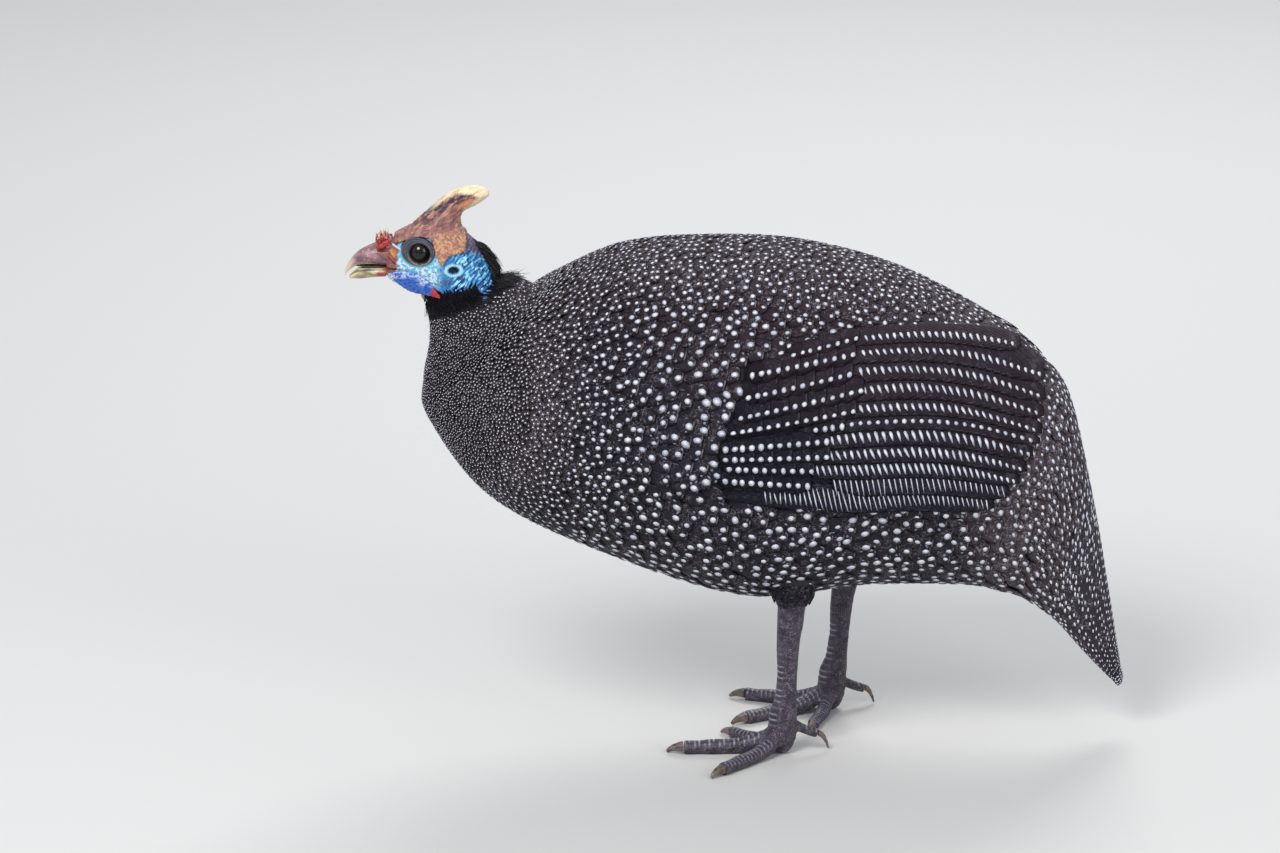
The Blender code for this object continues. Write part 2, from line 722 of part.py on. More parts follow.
def head_normal(place, side):
    """The way out of the side of the head at x and z in mm, turned half way towards the side."""
    x, z = place[0], place[1]
    along = flank_of_head((x + 2.0, z), side) - flank_of_head((x - 2.0, z), side)
    up = flank_of_head((x, z + 2.0), side) - flank_of_head((x, z - 2.0), side)
    out = along.cross(up).normalized()
    out = out if out.y * side > 0 else -out
    return (out + Vector((0.0, 0.6 * side, 0.0))).normalized()


def flank_of_head(place, side):
    """The point on one side of the head at x and z in mm."""
    x, z = place[0] * MM, place[1] * MM
    best = min(
        (body_point(2.0 + 0.1 * k, math.radians(30 + 3 * a)) for k in range(65) for a in range(40)),
        key=lambda point: (point.x - x) ** 2 + (point.z - z) ** 2,
    )
    return Vector((x, abs(best.y) * side, z))


def bristle(i, rng, home):
    """One short spine of the tuft over the nostrils."""
    angle = (i / (BRISTLES - 1) - 0.5) * 1.5
    root = section_point(UPPER_BILL, 0.3 + 0.9 * rng.random(), angle)
    way = Vector((-0.35 * rng.random(), -0.6 * math.sin(angle), 1.0)).normalized()
    across = way.cross(Vector((0.3, 1.0, 0.0))).normalized()
    other = way.cross(across)
    loops = []
    for share, radius in ((-0.3, 0.7), (0.55, 0.5), (1.0, 0.25)):
        middle = root + way * BRISTLE_LENGTH * share
        loops.append(
            [
                middle + radius * MM * (math.cos(t) * across + math.sin(t) * other)
                for t in (0.3, 1.87, 3.44, 5.01)
            ]
        )
    return mesh_object(f"bristle_{i}", loops, home, None)


def casque(home, look):
    """The horny helmet: its upright blade and the shield that hugs both sides of the skull."""
    blade = lofted("casque", CASQUE, home, look, 11, 12)
    shield = mesh_object("shield", body_rings(0.5, 8.0, 14, 22, GAP + SHIELD_THICKNESS), home, None)
    prism = mesh_object(
        "prism",
        [[Vector((x * MM, y * MM, z * MM)) for x, z in SHIELD] for y in (-30.0, 30.0)],
        home,
        None,
    )
    combine(shield, [prism], "INTERSECT")
    combine(blade, [shield], "UNION")
    skull = mesh_object("skull", head_rings(GAP), home, None)
    combine(blade, [skull], "DIFFERENCE")
    clear_eyes(blade, home)
    return blade


def clear_eyes(obj, home):
    """Cuts an object back from the rings of the eyelids."""
    room = []
    for side in (-1, 1):
        facing = head_normal((EYE_CENTRE[0], EYE_CENTRE[2]), side)
        middle = mirrored(EYE_CENTRE, side) + facing * LID_FORWARD
        clear = LID_RADIUS + LID_THICKNESS + GAP * 2
        room.append(ball("room", middle, (clear, clear, clear), home, None, 12, 8))
    combine(obj, room, "DIFFERENCE")


def bill(home, look):
    """The two halves of the bill, the upper one with its nostrils, their flaps and the tuft over them."""
    upper = lofted("bill_upper", UPPER_BILL, home, look, 9, 14)
    lower = lofted("bill_lower", LOWER_BILL, home, look, 6, 12)
    point, normal = section_plane(0.0)
    for half in (upper, lower):
        cut_by_plane(half, point - normal * GAP, normal)
    raised, holes = [], []
    for side in (-1, 1):
        flap = mirrored(NOSTRIL_FLAP, side)
        raised.append(ball("flap", flap, [size * MM for size in NOSTRIL_FLAP_SIZE], home, None, 10, 6))
        hole = mirrored(NOSTRIL, side)
        holes.append(ball("nostril", hole, [size * MM for size in NOSTRIL_SIZE], home, None, 8, 6))
    tuft = random.Random(3)
    raised += [bristle(i, tuft, home) for i in range(BRISTLES)]
    combine(upper, raised, "UNION")
    combine(upper, holes, "DIFFERENCE")
    cut_by_plane(upper, point - normal * GAP, normal)
    return upper, lower


def mirrored(place, side):
    """A point given in mm for the bird's right side, on one side, -1 left or 1 right."""
    return Vector((place[0] * MM, place[1] * MM * side, place[2] * MM))


def wattle(side_name, side, home, look):
    """The fold of bare skin that hangs from the corner of the mouth, on one side."""
    loops, steps, sides = [], 9, 9
    for k in range(steps + 1):
        x, z, half_height, half_thick = row_at(WATTLE, k * (len(WATTLE) - 1) / steps)
        ring = []
        for i in range(sides):
            turn = 2 * math.pi * i / sides
            height = z + half_height * math.cos(turn)
            base = flank_of_throat(x, height)
            y = base + GAP / MM + half_thick * (1 + math.sin(turn))
            ring.append(Vector((x * MM, side * y * MM, height * MM)))
        loops.append(ring)
    made = mesh_object(f"wattle_{side_name}", loops, home, look)
    combine(made, [mesh_object("throat", head_rings(GAP), home, None)], "DIFFERENCE")
    return made


def flank_of_throat(x, z):
    """Half the head's width in mm at x and z in mm, or a little less than that under the throat."""
    nearest = flank_of_head((x, max(z, 249.0)), 1)
    return min(abs(nearest.y) / MM, 15.0) - max(0.0, 249.0 - z) * 0.5


def eye(side_name, side, home, look):
    """An eyeball set in its socket."""
    centre = mirrored(EYE_CENTRE, side)
    return ball(f"eye_{side_name}", centre, (EYE_RADIUS, EYE_RADIUS, EYE_RADIUS), home, look, 14, 8)


def tube(name, path, radii, home, look, sides=10):
    """A round tube along points, with one radius for each, cut square at its ends."""
    loops = []
    for k, (point, radius) in enumerate(zip(path, radii)):
        before, after = path[max(k - 1, 0)], path[min(k + 1, len(path) - 1)]
        way = (after - before).normalized()
        across = way.cross(Vector((0.0, 0.0, 1.0)))
        across = across.normalized() if across.length > 0.2 else Vector((0.0, 1.0, 0.0))
        other = way.cross(across).normalized()
        loops.append(
            [
                point
                + radius * math.cos(2 * math.pi * i / sides) * across
                + radius * math.sin(2 * math.pi * i / sides) * other
                for i in range(sides)
            ]
        )
    return mesh_object(name, loops, home, look)


def toe_path(ankle, heading, toe, steps=7):
    """The middle line of a toe, from inside the foot down to the floor and along it."""
    length, radius_root, radius_tip, root_height, end_height, reach = toe
    way = Vector((math.cos(heading), math.sin(heading), 0.0))
    start = Vector((ankle.x, ankle.y, 0.0))
    path = []
    for k in range(steps + 1):
        share = k / steps
        radius = (radius_root + (radius_tip - radius_root) * share) * MM
        rest = radius - FLAT + end_height * MM
        drop = max(0.0, 1 - share / reach) ** 2
        point = start + way * length * MM * share
        point.z = rest + (root_height * MM - rest) * drop
        path.append(point)
    return path


def toe_radii(radius_root, radius_tip, joints, steps=7):
    """The toe's radius along its length, fuller at each joint's pad, in metres."""
    return [
        (radius_root + (radius_tip - radius_root) * k / steps)
        * (1 + 0.07 * math.cos(2 * math.pi * joints * k / steps))
        * MM
        for k in range(steps + 1)
    ]


def foot_parts(side_name, side, home, scale_look, claw_look):
    """A foot of four toes on flat soles, with a claw at the end of each."""
    spec = LEGS[side_name]
    ankle = leg_axis(spec, ANKLE_HEIGHT)
    made = ball(f"foot_{side_name}", ankle, [size * MM for size in PAD], home, scale_look, 12, 8)
    joined = [mesh_object("stump", leg_rings(spec, 8 * MM, TARSUS_CUT - GAP, 3), home, None)]
    claws = []
    for toe, (angle, length, root, tip, joints, root_height, end_height, reach) in TOES.items():
        heading = math.radians(180.0 - side * (angle - spec["turn"]))
        path = toe_path(ankle, heading, (length, root, tip, root_height, end_height, reach))
        radii = toe_radii(root, tip, joints)
        joined.append(tube(f"toe_{toe}", path, radii, home, None, 8))
        claws.append(claw(f"claw_{side_name}_{toe}", path, heading, tip, CLAW_LENGTH[toe], home, claw_look))
    combine(made, joined, "UNION")
    cut_by_plane(made, Vector((0.0, 0.0, 0.0)), Vector((0.0, 0.0, -1.0)))
    return made, claws


def claw(name, path, heading, tip_radius, length, home, look):
    """A curved claw, whose flat root meets the end of its toe and whose tip bends to the floor."""
    way = Vector((math.cos(heading), math.sin(heading), 0.0))
    start = path[-1] + way * GAP
    spine, radii = [], []
    for share in (0.0, 0.25, 0.5, 0.75, 1.0):
        radius = tip_radius * MM * (0.88 - 0.62 * share)
        point = start + way * length * MM * math.sin(0.95 * share) / 0.95
        low = radius + CLAW_CLEARANCE
        high = path[-1].z + 0.35 * MM
        point.z = high + (low - high) * share**1.6
        spine.append(point)
        radii.append(radius)
    made = tube(name, spine, radii, home, look, 5)
    cut_by_plane(made, start, -way)
    return made


def leg_axis(spec, height):
    """The middle of the leg at a height over the floor."""
    share = (height - ANKLE_HEIGHT) / (HOCK_HEIGHT - ANKLE_HEIGHT)
    foot, hock = spec["foot"], spec["hock"]
    x = foot[0] + (hock[0] - foot[0]) * share - tarsus_at(share)[2]
    y = foot[1] + (hock[1] - foot[1]) * share
    return Vector((x * MM, y * MM, height))


def leg_rings(spec, low, high, count, sides=12):
    """Level rings round the tarsus between two heights."""
    loops = []
    for k in range(count + 1):
        height = low + (high - low) * k / count
        share = (height - ANKLE_HEIGHT) / (HOCK_HEIGHT - ANKLE_HEIGHT)
        half = tarsus_at(share)[1] * MM
        middle = leg_axis(spec, height)
        turns = [2 * math.pi * i / sides for i in range(sides)]
        loops.append(
            [
                middle
                + Vector((half * TARSUS_DEPTH[0] * math.cos(t), half * TARSUS_DEPTH[1] * math.sin(t), 0.0))
                for t in turns
            ]
        )
    return loops


def tarsus_at(share):
    """The row of the tarsus's table at a share of its height."""
    for below, above in zip(TARSUS, TARSUS[1:]):
        if share <= above[0]:
            t = (max(share, below[0]) - below[0]) / (above[0] - below[0])
            t = t * t * (3 - 2 * t)
            return mix(below, above, t)
    return TARSUS[-1]


def leg(side_name, spec, home, scale_look, feather_look):
    """The scaled tarsus and the feathered end of the thigh, which meets the belly."""
    tarsus = mesh_object(
        f"tarsus_{side_name}", leg_rings(spec, TARSUS_CUT, HOCK_HEIGHT - GAP, 9), home, scale_look
    )
    top = leg_axis(spec, THIGH_TOP)
    loops, steps, sides = [], 6, 16
    for k in range(steps + 1):
        share = k / steps
        height = HOCK_HEIGHT + (THIGH_TOP - HOCK_HEIGHT) * share
        middle = leg_axis(spec, HOCK_HEIGHT).lerp(top, share)
        radius = THIGH_FOOT_RADIUS + (THIGH_TOP_RADIUS - THIGH_FOOT_RADIUS) * share**0.8
        loops.append(
            [
                Vector(
                    (
                        middle.x + THIGH_DEPTH * radius * math.cos(2 * math.pi * i / sides),
                        middle.y + radius * math.sin(2 * math.pi * i / sides),
                        height,
                    )
                )
                for i in range(sides)
            ]
        )
    thigh = mesh_object(f"thigh_{side_name}", loops, home, feather_look)
    combine(thigh, [mesh_object("belly", torso_rings(GAP), home, None)], "DIFFERENCE")
    return tarsus, thigh


def finish(home):
    """Loose scraps dropped and smooth shading with sharp edges kept, on every part."""
    for obj in home.objects:
        keep_largest(obj, in_triangles=True)
        obj.data.shade_smooth()
        obj.data.set_sharp_from_angle(angle=math.radians(SHARP_ANGLE))


def main():
    """Builds every part of the bird in one collection."""
    clear_scene()
    bird = collection("guinea_fowl")
    skin, plumage = material("skin", SKIN), material("plumage", PLUMAGE)
    horn, beak = material("horn", HORN), material("bill", BILL)
    scales, nails, dark = material("scales", SCALES), material("claw", CLAW), material("eye", EYE)
    head(bird, skin)
    casque(bird, horn)
    bill(bird, beak)
    rings = body_rings(NECK_CUT - 0.3, TORSO_CUT + 0.3, 8, 26)
    body_piece("neck", rings, NECK_CUT, TORSO_CUT, bird, plumage)
    body_piece("torso", torso_rings(), TORSO_CUT, TAIL_CUT, bird, plumage)
    tail(bird, plumage)
    for side_name, side in (("left", -1), ("right", 1)):
        eye(side_name, side, bird, dark)
        wattle(side_name, side, bird, skin)
        wing(side_name, side, bird, plumage)
        leg(side_name, LEGS[side_name], bird, scales, plumage)
        foot_parts(side_name, side, bird, scales, nails)
    finish(bird)


main()
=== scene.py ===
import logging
import math
from dataclasses import dataclass, field
from enum import Enum
from typing import Callable, Sequence

import bmesh
import bpy
import numpy as np
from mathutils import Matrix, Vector


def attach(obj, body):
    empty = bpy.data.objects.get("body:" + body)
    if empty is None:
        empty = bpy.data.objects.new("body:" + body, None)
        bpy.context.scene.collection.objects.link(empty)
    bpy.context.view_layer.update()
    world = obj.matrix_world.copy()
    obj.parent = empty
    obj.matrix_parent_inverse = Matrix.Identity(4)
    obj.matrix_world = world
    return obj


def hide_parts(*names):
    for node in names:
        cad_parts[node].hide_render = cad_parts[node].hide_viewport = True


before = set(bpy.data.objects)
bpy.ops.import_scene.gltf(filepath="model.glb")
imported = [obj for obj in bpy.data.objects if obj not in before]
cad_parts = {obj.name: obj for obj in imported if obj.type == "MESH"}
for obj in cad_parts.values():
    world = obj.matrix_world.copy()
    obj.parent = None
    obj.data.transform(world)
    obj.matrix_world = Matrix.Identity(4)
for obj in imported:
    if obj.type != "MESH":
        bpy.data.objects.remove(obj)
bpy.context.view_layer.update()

logging.basicConfig(level=logging.INFO, format="%(name)s: %(message)s")
LOG = logging.getLogger("guineafowl")

MM = 0.001
SEED = 7

# The body's rows, in millimetres: top x, top z, bottom x, bottom z, half width, pear.
SECTIONS = (
    (-190.7, 282.8, -192.2, 262.3, 7.0, -0.10), (-186.2, 285.3, -187.2, 259.3, 9.0, -0.12),
    (-178.7, 289.3, -181.2, 255.8, 11.5, -0.16), (-170.2, 292.8, -176.2, 253.3, 13.5, -0.18),
    (-160.2, 292.8, -173.2, 251.8, 14.8, -0.16), (-150.2, 288.8, -171.7, 250.3, 15.5, -0.12),
    (-140.7, 280.3, -170.7, 248.3, 15.5, -0.06), (-134.2, 271.3, -170.2, 247.3, 16.0, 0.00),
    (-130.5, 261.5, -170.0, 246.0, 17.0, 0.00), (-119.0, 260.5, -168.0, 238.5, 21.5, 0.03),
    (-110.0, 256.5, -168.0, 225.0, 27.5, 0.05), (-103.5, 258.0, -171.5, 204.0, 36.0, 0.07),
    (-93.0, 266.0, -169.0, 183.5, 46.0, 0.07), (-61.0, 280.0, -135.5, 139.5, 62.0, 0.07),
    (-17.0, 284.0, -73.0, 107.5, 72.0, 0.07), (35.0, 281.5, 4.5, 83.0, 75.0, 0.07),
    (90.5, 266.0, 70.0, 89.0, 70.0, 0.07), (145.0, 236.5, 123.0, 88.5, 56.0, 0.07),
    (167.0, 217.0, 145.0, 84.0, 47.0, 0.05), (182.5, 195.0, 159.0, 79.0, 38.0, 0.03),
    (195.5, 140.5, 177.0, 66.0, 23.0, 0.00), (205.0, 86.0, 195.0, 46.5, 12.5, 0.00),
    (212.0, 44.0, 208.0, 33.0, 6.0, 0.00), (215.5, 31.0, 213.5, 26.5, 3.5, 0.00),
)
LAST_ROW = len(SECTIONS) - 1
NECK_CUT = 8.35
# The side view's outline of the bare skin of the head, in millimetres (x, z).
BARE_SKIN = (
    (-197, 292), (-150, 294), (-145.6, 286), (-141.6, 280), (-137.2, 273.6), (-134.6, 266.4),
    (-132.4, 260.4), (-134.6, 257.4), (-138.6, 256.2), (-141.5, 259.4), (-151, 257.6), (-158.7, 256.6),
    (-170, 256.8), (-182, 256.8), (-197, 255),
)
BLOTCHES = ((-136.6, 254.2, 2.3, 1.4), (-139.4, 250.9, 1.7, 1.1), (-148.3, 254.6, 1.2, 1.0), (-145.7, 250.3, 0.9, 0.8))
EYE = (-172.6, 8.2, 278.5)
EYE_RADIUS = 6.4
EAR = (-154.4, 269.5)
GAPE = (-184.2, 268.0)
# The folded wing in the side view, in millimetres: x, top z, bottom z.
WING = (
    (-74, 210, 190), (-64, 228, 171), (-31, 241, 162), (13, 245, 156), (62, 240, 149),
    (101, 222, 144), (134, 198, 140), (154, 176, 142), (163, 160, 148),
)
WING_DEPTH = 2.6
# The wing's rows of marks: height at x = 84, slope ahead of x = 64, fall behind x = 80, first and last x.
WING_ROWS = (
    (243.6, 0.22, 0.0026, 28, 150), (233.9, 0.15, 0.0032, 6, 163), (225.0, 0.19, 0.0033, 4, 163),
    (215.9, 0.20, 0.0032, 0, 162), (206.1, 0.16, 0.0031, -4, 161), (199.4, 0.11, 0.0029, 40, 160),
    (192.1, 0.07, 0.0030, -8, 156), (182.8, 0.02, 0.0030, -8, 152), (174.4, -0.03, 0.0028, -6, 148),
    (165.4, -0.065, 0.0026, -8, 142), (155.5, -0.06, 0.0022, -6, 134),
)


def colour(red: float, green: float, blue: float) -> tuple[float, float, float, float]:
    """Turns a display colour into the linear one a shader wants.

    Args:
        red, green, blue: the display values, from 0 to 255.
    Returns:
        The linear colour with full alpha.
    """
    parts = [value / 255 for value in (red, green, blue)]
    line = [v / 12.92 if v <= 0.04045 else ((v + 0.055) / 1.055) ** 2.4 for v in parts]
    return line[0], line[1], line[2], 1.0


def catmull(rows: np.ndarray, place: np.ndarray) -> np.ndarray:
    """Reads rows of numbers on a smooth curve through them.

    Args:
        rows: the rows, one a line.
        place: the places along the rows, in rows.
    Returns:
        One row of numbers for each place.
    """
    last = len(rows) - 1
    place = np.clip(place, 0.0, last)
    index = np.minimum(place.astype(int), last - 1)
    t = (place - index)[..., None]
    p, q, r, s = (rows[np.clip(index + k, 0, last)] for k in (-1, 0, 1, 2))
    return 0.5 * (2 * q + (r - p) * t + (2 * p - 5 * q + 4 * r - s) * t**2 + (3 * q - p - 3 * r + s) * t**3)


def smooth(value: np.ndarray, low: float, high: float) -> np.ndarray:
    """A soft step from 0 at low to 1 at high.

    Args:
        value: what is stepped.
        low: where the step begins.
        high: where it ends; it may lie below low.
    Returns:
        The step's height for each value.
    """
    t = np.clip((value - low) / (high - low), 0.0, 1.0)
    return t * t * (3 - 2 * t)


def inside_by(outline: Sequence[tuple[float, float]], x: np.ndarray, z: np.ndarray) -> np.ndarray:
    """How deep points of the side view lie inside an outline.

    Args:
        outline: the outline's corners.
        x, z: the points.
    Returns:
        The distance to the outline, above 0 inside it and below 0 outside.
    """
    near = np.full(x.shape, 1e9)
    inside = np.zeros(x.shape, dtype=bool)
    for (ax, az), (bx, bz) in zip(outline, tuple(outline[1:]) + (outline[0],)):
        share = np.clip(((x - ax) * (bx - ax) + (z - az) * (bz - az)) / ((bx - ax) ** 2 + (bz - az) ** 2), 0, 1)
        near = np.minimum(near, np.hypot(x - ax - share * (bx - ax), z - az - share * (bz - az)))
        crosses = (az > z) != (bz > z)
        inside ^= crosses & (x < (bx - ax) * (z - az) / (bz - az + 1e-12) + ax)
    return np.where(inside, near, -near)


# Shaders


class Channel:
    """One output socket of a material's nodes, with sums done by more nodes."""

    def __init__(self, kit: "Shader", socket: bpy.types.NodeSocket) -> None:
        """Args:
            kit: the material the socket belongs to.
            socket: the output socket.
        """
        self.kit = kit
        self.socket = socket

    def __add__(self, other: object) -> "Channel":
        """Returns: the sum."""
        return self.kit.maths("ADD", self, other)

    __radd__ = __add__

    def __sub__(self, other: object) -> "Channel":
        """Returns: this less the other."""
        return self.kit.maths("SUBTRACT", self, other)

    def __rsub__(self, other: object) -> "Channel":
        """Returns: the other less this."""
        return self.kit.maths("SUBTRACT", other, self)

    def __mul__(self, other: object) -> "Channel":
        """Returns: the product."""
        return self.kit.maths("MULTIPLY", self, other)

    __rmul__ = __mul__

    def __truediv__(self, other: object) -> "Channel":
        """Returns: this divided by the other."""
        return self.kit.maths("DIVIDE", self, other)

    def __rtruediv__(self, other: object) -> "Channel":
        """Returns: the other divided by this."""
        return self.kit.maths("DIVIDE", other, self)

    def __pow__(self, other: object) -> "Channel":
        """Returns: this to the other's power."""
        return self.kit.maths("POWER", self, other)

    def near(self, middle: float, reach: float) -> "Channel":
        """Args:
            middle: the value that is looked for.
            reach: how far from it the result falls to 0.
        Returns:
            1 at the middle, falling softly to 0.
        """
        return self.kit.maths("ABSOLUTE", self - middle).step(reach, reach * 0.25)

    def step(self, low: float, high: float) -> "Channel":
        """A soft step from 0 at low to 1 at high.

        Args:
            low, high: the step's ends.
        Returns:
            The step's channel.
        """
        settings = {"interpolation_type": "SMOOTHSTEP", "clamp": True}
        if low < high:
            return self.kit.node("ShaderNodeMapRange", settings, {"Value": self, "From Min": low, "From Max": high})
        ends = {"Value": self, "From Min": high, "From Max": low, "To Min": 1.0, "To Max": 0.0}
        return self.kit.node("ShaderNodeMapRange", settings, ends)


class Shader:
    """A material and the few ways its nodes are made."""

    def __init__(self, name: str) -> None:
        """Args:
            name: the material's name.
        """
        self.material = bpy.data.materials.new(name)
        self.material.use_nodes = True
        self.tree = self.material.node_tree
        self.surface = self.tree.nodes["Principled BSDF"]

    def node(self, kind: str, settings: dict, values: dict, output: object = 0) -> Channel:
        """Makes any node.

        Args:
            kind: the node's type.
            settings: its properties.
            values: its inputs by name or number, each a channel or a constant.
            output: which output is wanted, by name or number.
        Returns:
            The output's channel.
        """
        made = self.tree.nodes.new(kind)
        for key, value in settings.items():
            setattr(made, key, value)
        for key, value in values.items():
            self.put(made.inputs[key], value)
        return Channel(self, made.outputs[output])

    def maths(self, operation: str, first: object, second: object = None) -> Channel:
        """Args:
            operation: the Math node's operation.
            first, second: channels or numbers.
        Returns:
            The result's channel.
        """
        values = {0: first} if second is None else {0: first, 1: second}
        return self.node("ShaderNodeMath", {"operation": operation}, values)

    def put(self, socket: bpy.types.NodeSocket, value: object) -> None:
        """Args:
            socket: the input that is fed.
            value: a channel or a constant.
        """
        if isinstance(value, Channel):
            self.tree.links.new(value.socket, socket)
        else:
            socket.default_value = value

    def place(self) -> Channel:
        """Returns: the point's place in the object's own frame."""
        return self.node("ShaderNodeTexCoord", {}, {}, "Object")

    def axis(self, name: str, vector: Channel | None = None) -> Channel:
        """Args:
            name: X, Y or Z.
            vector: the vector that is split, or the point's place.
        Returns:
            One of its parts.
        """
        return self.node("ShaderNodeSeparateXYZ", {}, {0: vector or self.place()}, name)

    def attribute(self, name: str, output: str = "Color") -> Channel:
        """Args:
            name: the mesh attribute's name.
            output: which of its outputs.
        Returns:
            The attribute's channel.
        """
        return self.node("ShaderNodeAttribute", {"attribute_name": name}, {}, output)

    def noise(self, scale: float, detail: float = 3.0, vector: Channel | None = None) -> Channel:
        """Args:
            scale: waves to a metre.
            detail: how many finer layers.
            vector: where it is read, or the point's place.
        Returns:
            The noise, around 0.5.
        """
        return self.node("ShaderNodeTexNoise", {}, {"Vector": vector or self.place(), "Scale": scale, "Detail": detail})

    def cells(self, scale: float, feature: str = "F1", vector: Channel | None = None) -> Channel:
        """Args:
            scale: cells to a metre.
            feature: F1, or DISTANCE_TO_EDGE.
            vector: where it is read, or the point's place.
        Returns:
            The distance in each cell.
        """
        values = {"Vector": vector or self.place(), "Scale": scale}
        return self.node("ShaderNodeTexVoronoi", {"feature": feature}, values, "Distance")

    def stretched(self, size: tuple[float, float, float], turn: tuple[float, float, float] = (0, 0, 0)) -> Channel:
        """Args:
            size: how much each axis is scaled.
            turn: how it is turned, in radians.
        Returns:
            The point's place in a turned frame, scaled along its axes.
        """
        values = {"Vector": self.place(), "Scale": tuple(1 / part for part in size), "Rotation": turn}
        return self.node("ShaderNodeMapping", {"vector_type": "TEXTURE"}, values)

    def mix(self, first: object, second: object, factor: object) -> Channel:
        """Mixes two colours.

        Args:
            first, second: channels or colours.
            factor: the second's share.
        Returns:
            The mixed colour.
        """
        made = self.tree.nodes.new("ShaderNodeMix")
        made.data_type = "RGBA"
        self.put(made.inputs[0], factor)
        self.put(made.inputs[6], first)
        self.put(made.inputs[7], second)
        return Channel(self, made.outputs[2])

    def finish(self, base: object, roughness: object, relief: Channel | None = None, height: float = 0.0,
               coat: float = 0.0, sheen: float = 0.0, specular: float = 0.5) -> bpy.types.Material:
        """Feeds the surface.

        Args:
            base: the base colour.
            roughness: the roughness.
            relief: what the bump reads, if anything.
            height: the bump's height in metres.
            coat: the clear coat's weight.
            sheen: the sheen's weight.
            specular: how strongly it reflects.
        Returns:
            The finished material.
        """
        self.put(self.surface.inputs["Base Color"], base)
        self.put(self.surface.inputs["Roughness"], roughness)
        self.surface.inputs["Coat Weight"].default_value = coat
        self.surface.inputs["Coat Roughness"].default_value = 0.12
        self.surface.inputs["Sheen Weight"].default_value = sheen
        self.surface.inputs["Specular IOR Level"].default_value = specular
        if relief is not None:
            values = {"Height": relief, "Distance": height, "Strength": 1.0}
            bump = self.node("ShaderNodeBump", {}, values)
            self.put(self.surface.inputs["Normal"], bump)
        return self.material


@dataclass(frozen=True)
class FeatherFinish:
    """Dark feather webs, navy below and ahead, purple-brown above and behind as a painted sheen, with fine pale lines.
    """

    name: str
    net: float
    grey: float = 0.0

    def make(self) -> bpy.types.Material:
        """Returns: the material."""
        kit = Shader(self.name)
        # Painted sheen: the webs turn from navy below and ahead to a lighter purple-brown above and behind.
        high = (kit.axis("Z") + kit.axis("X") * 0.35 + (kit.noise(14.0, 2.0) - 0.5) * 0.06).step(0.17, 0.27)
        base = kit.mix(colour(11, 13, 28), colour(36, 24, 34), high)
        pale = colour(166, 156, 166)
        share = kit.attribute("net", "Fac")
        vane = kit.node("ShaderNodeUVMap", {"uv_map": "Vane"}, {}, "UV")
        along, across = kit.axis("X", vane), kit.maths("ABSOLUTE", kit.axis("Y", vane) - 0.5) * 2.0
        base = kit.mix(base, colour(74, 66, 72), share * share * self.grey)
        worn = kit.noise(300.0, 2.0).step(0.46, 0.60)
        rim = kit.maths("MAXIMUM", across.near(0.86, 0.10), along.near(0.955, 0.03))
        scribble = kit.noise(430.0, 2.0).near(0.5, 0.028)
        lines = kit.maths("MAXIMUM", rim * worn, scribble * kit.noise(170.0, 2.0).step(0.44, 0.56))
        base = kit.mix(base, pale, lines * share * self.net)
        comb = kit.maths("SINE", (along * 1.0 + across * 0.16) * 190.0)
        dull = kit.noise(120.0, 2.0) * 0.2 + 0.5
        return kit.finish(base, dull, comb, 0.0001, specular=0.2)


@dataclass(frozen=True)
class PlainFinish:
    """One colour, a second one in soft patches, and a fine grain."""

    name: str
    first: tuple[float, float, float, float]
    second: tuple[float, float, float, float]
    scale: float
    roughness: float
    grain: float = 1500.0
    height: float = 0.00015
    coat: float = 0.0

    def make(self) -> bpy.types.Material:
        """Returns: the material."""
        kit = Shader(self.name)
        base = kit.mix(self.first, self.second, kit.noise(self.scale, 3.0).step(0.38, 0.66))
        return kit.finish(base, self.roughness, kit.noise(self.grain, 2.0), self.height, coat=self.coat)


# The mouth's lining: its own dark red-brown, darkened further as painted shade for the gap between the bill's halves.
MOUTH_FINISH = PlainFinish("mouth", colour(52, 26, 28), colour(30, 14, 18), 300.0, 0.45)
# A dark pebble in each nostril: painted shade in the nostril's opening.
NOSTRIL_SHADE_FINISH = PlainFinish("nostril", colour(26, 10, 12), colour(50, 16, 18), 300.0, 0.5)
FLAP_FINISH = PlainFinish("flap", colour(186, 38, 44), colour(146, 30, 36), 500.0, 0.36, coat=0.1)


class Look(Enum):
    """The named kinds of finish."""

    SKIN = "skin"
    CASQUE = "casque"
    BILL = "bill"
    WATTLE = "wattle"
    LEG = "leg"


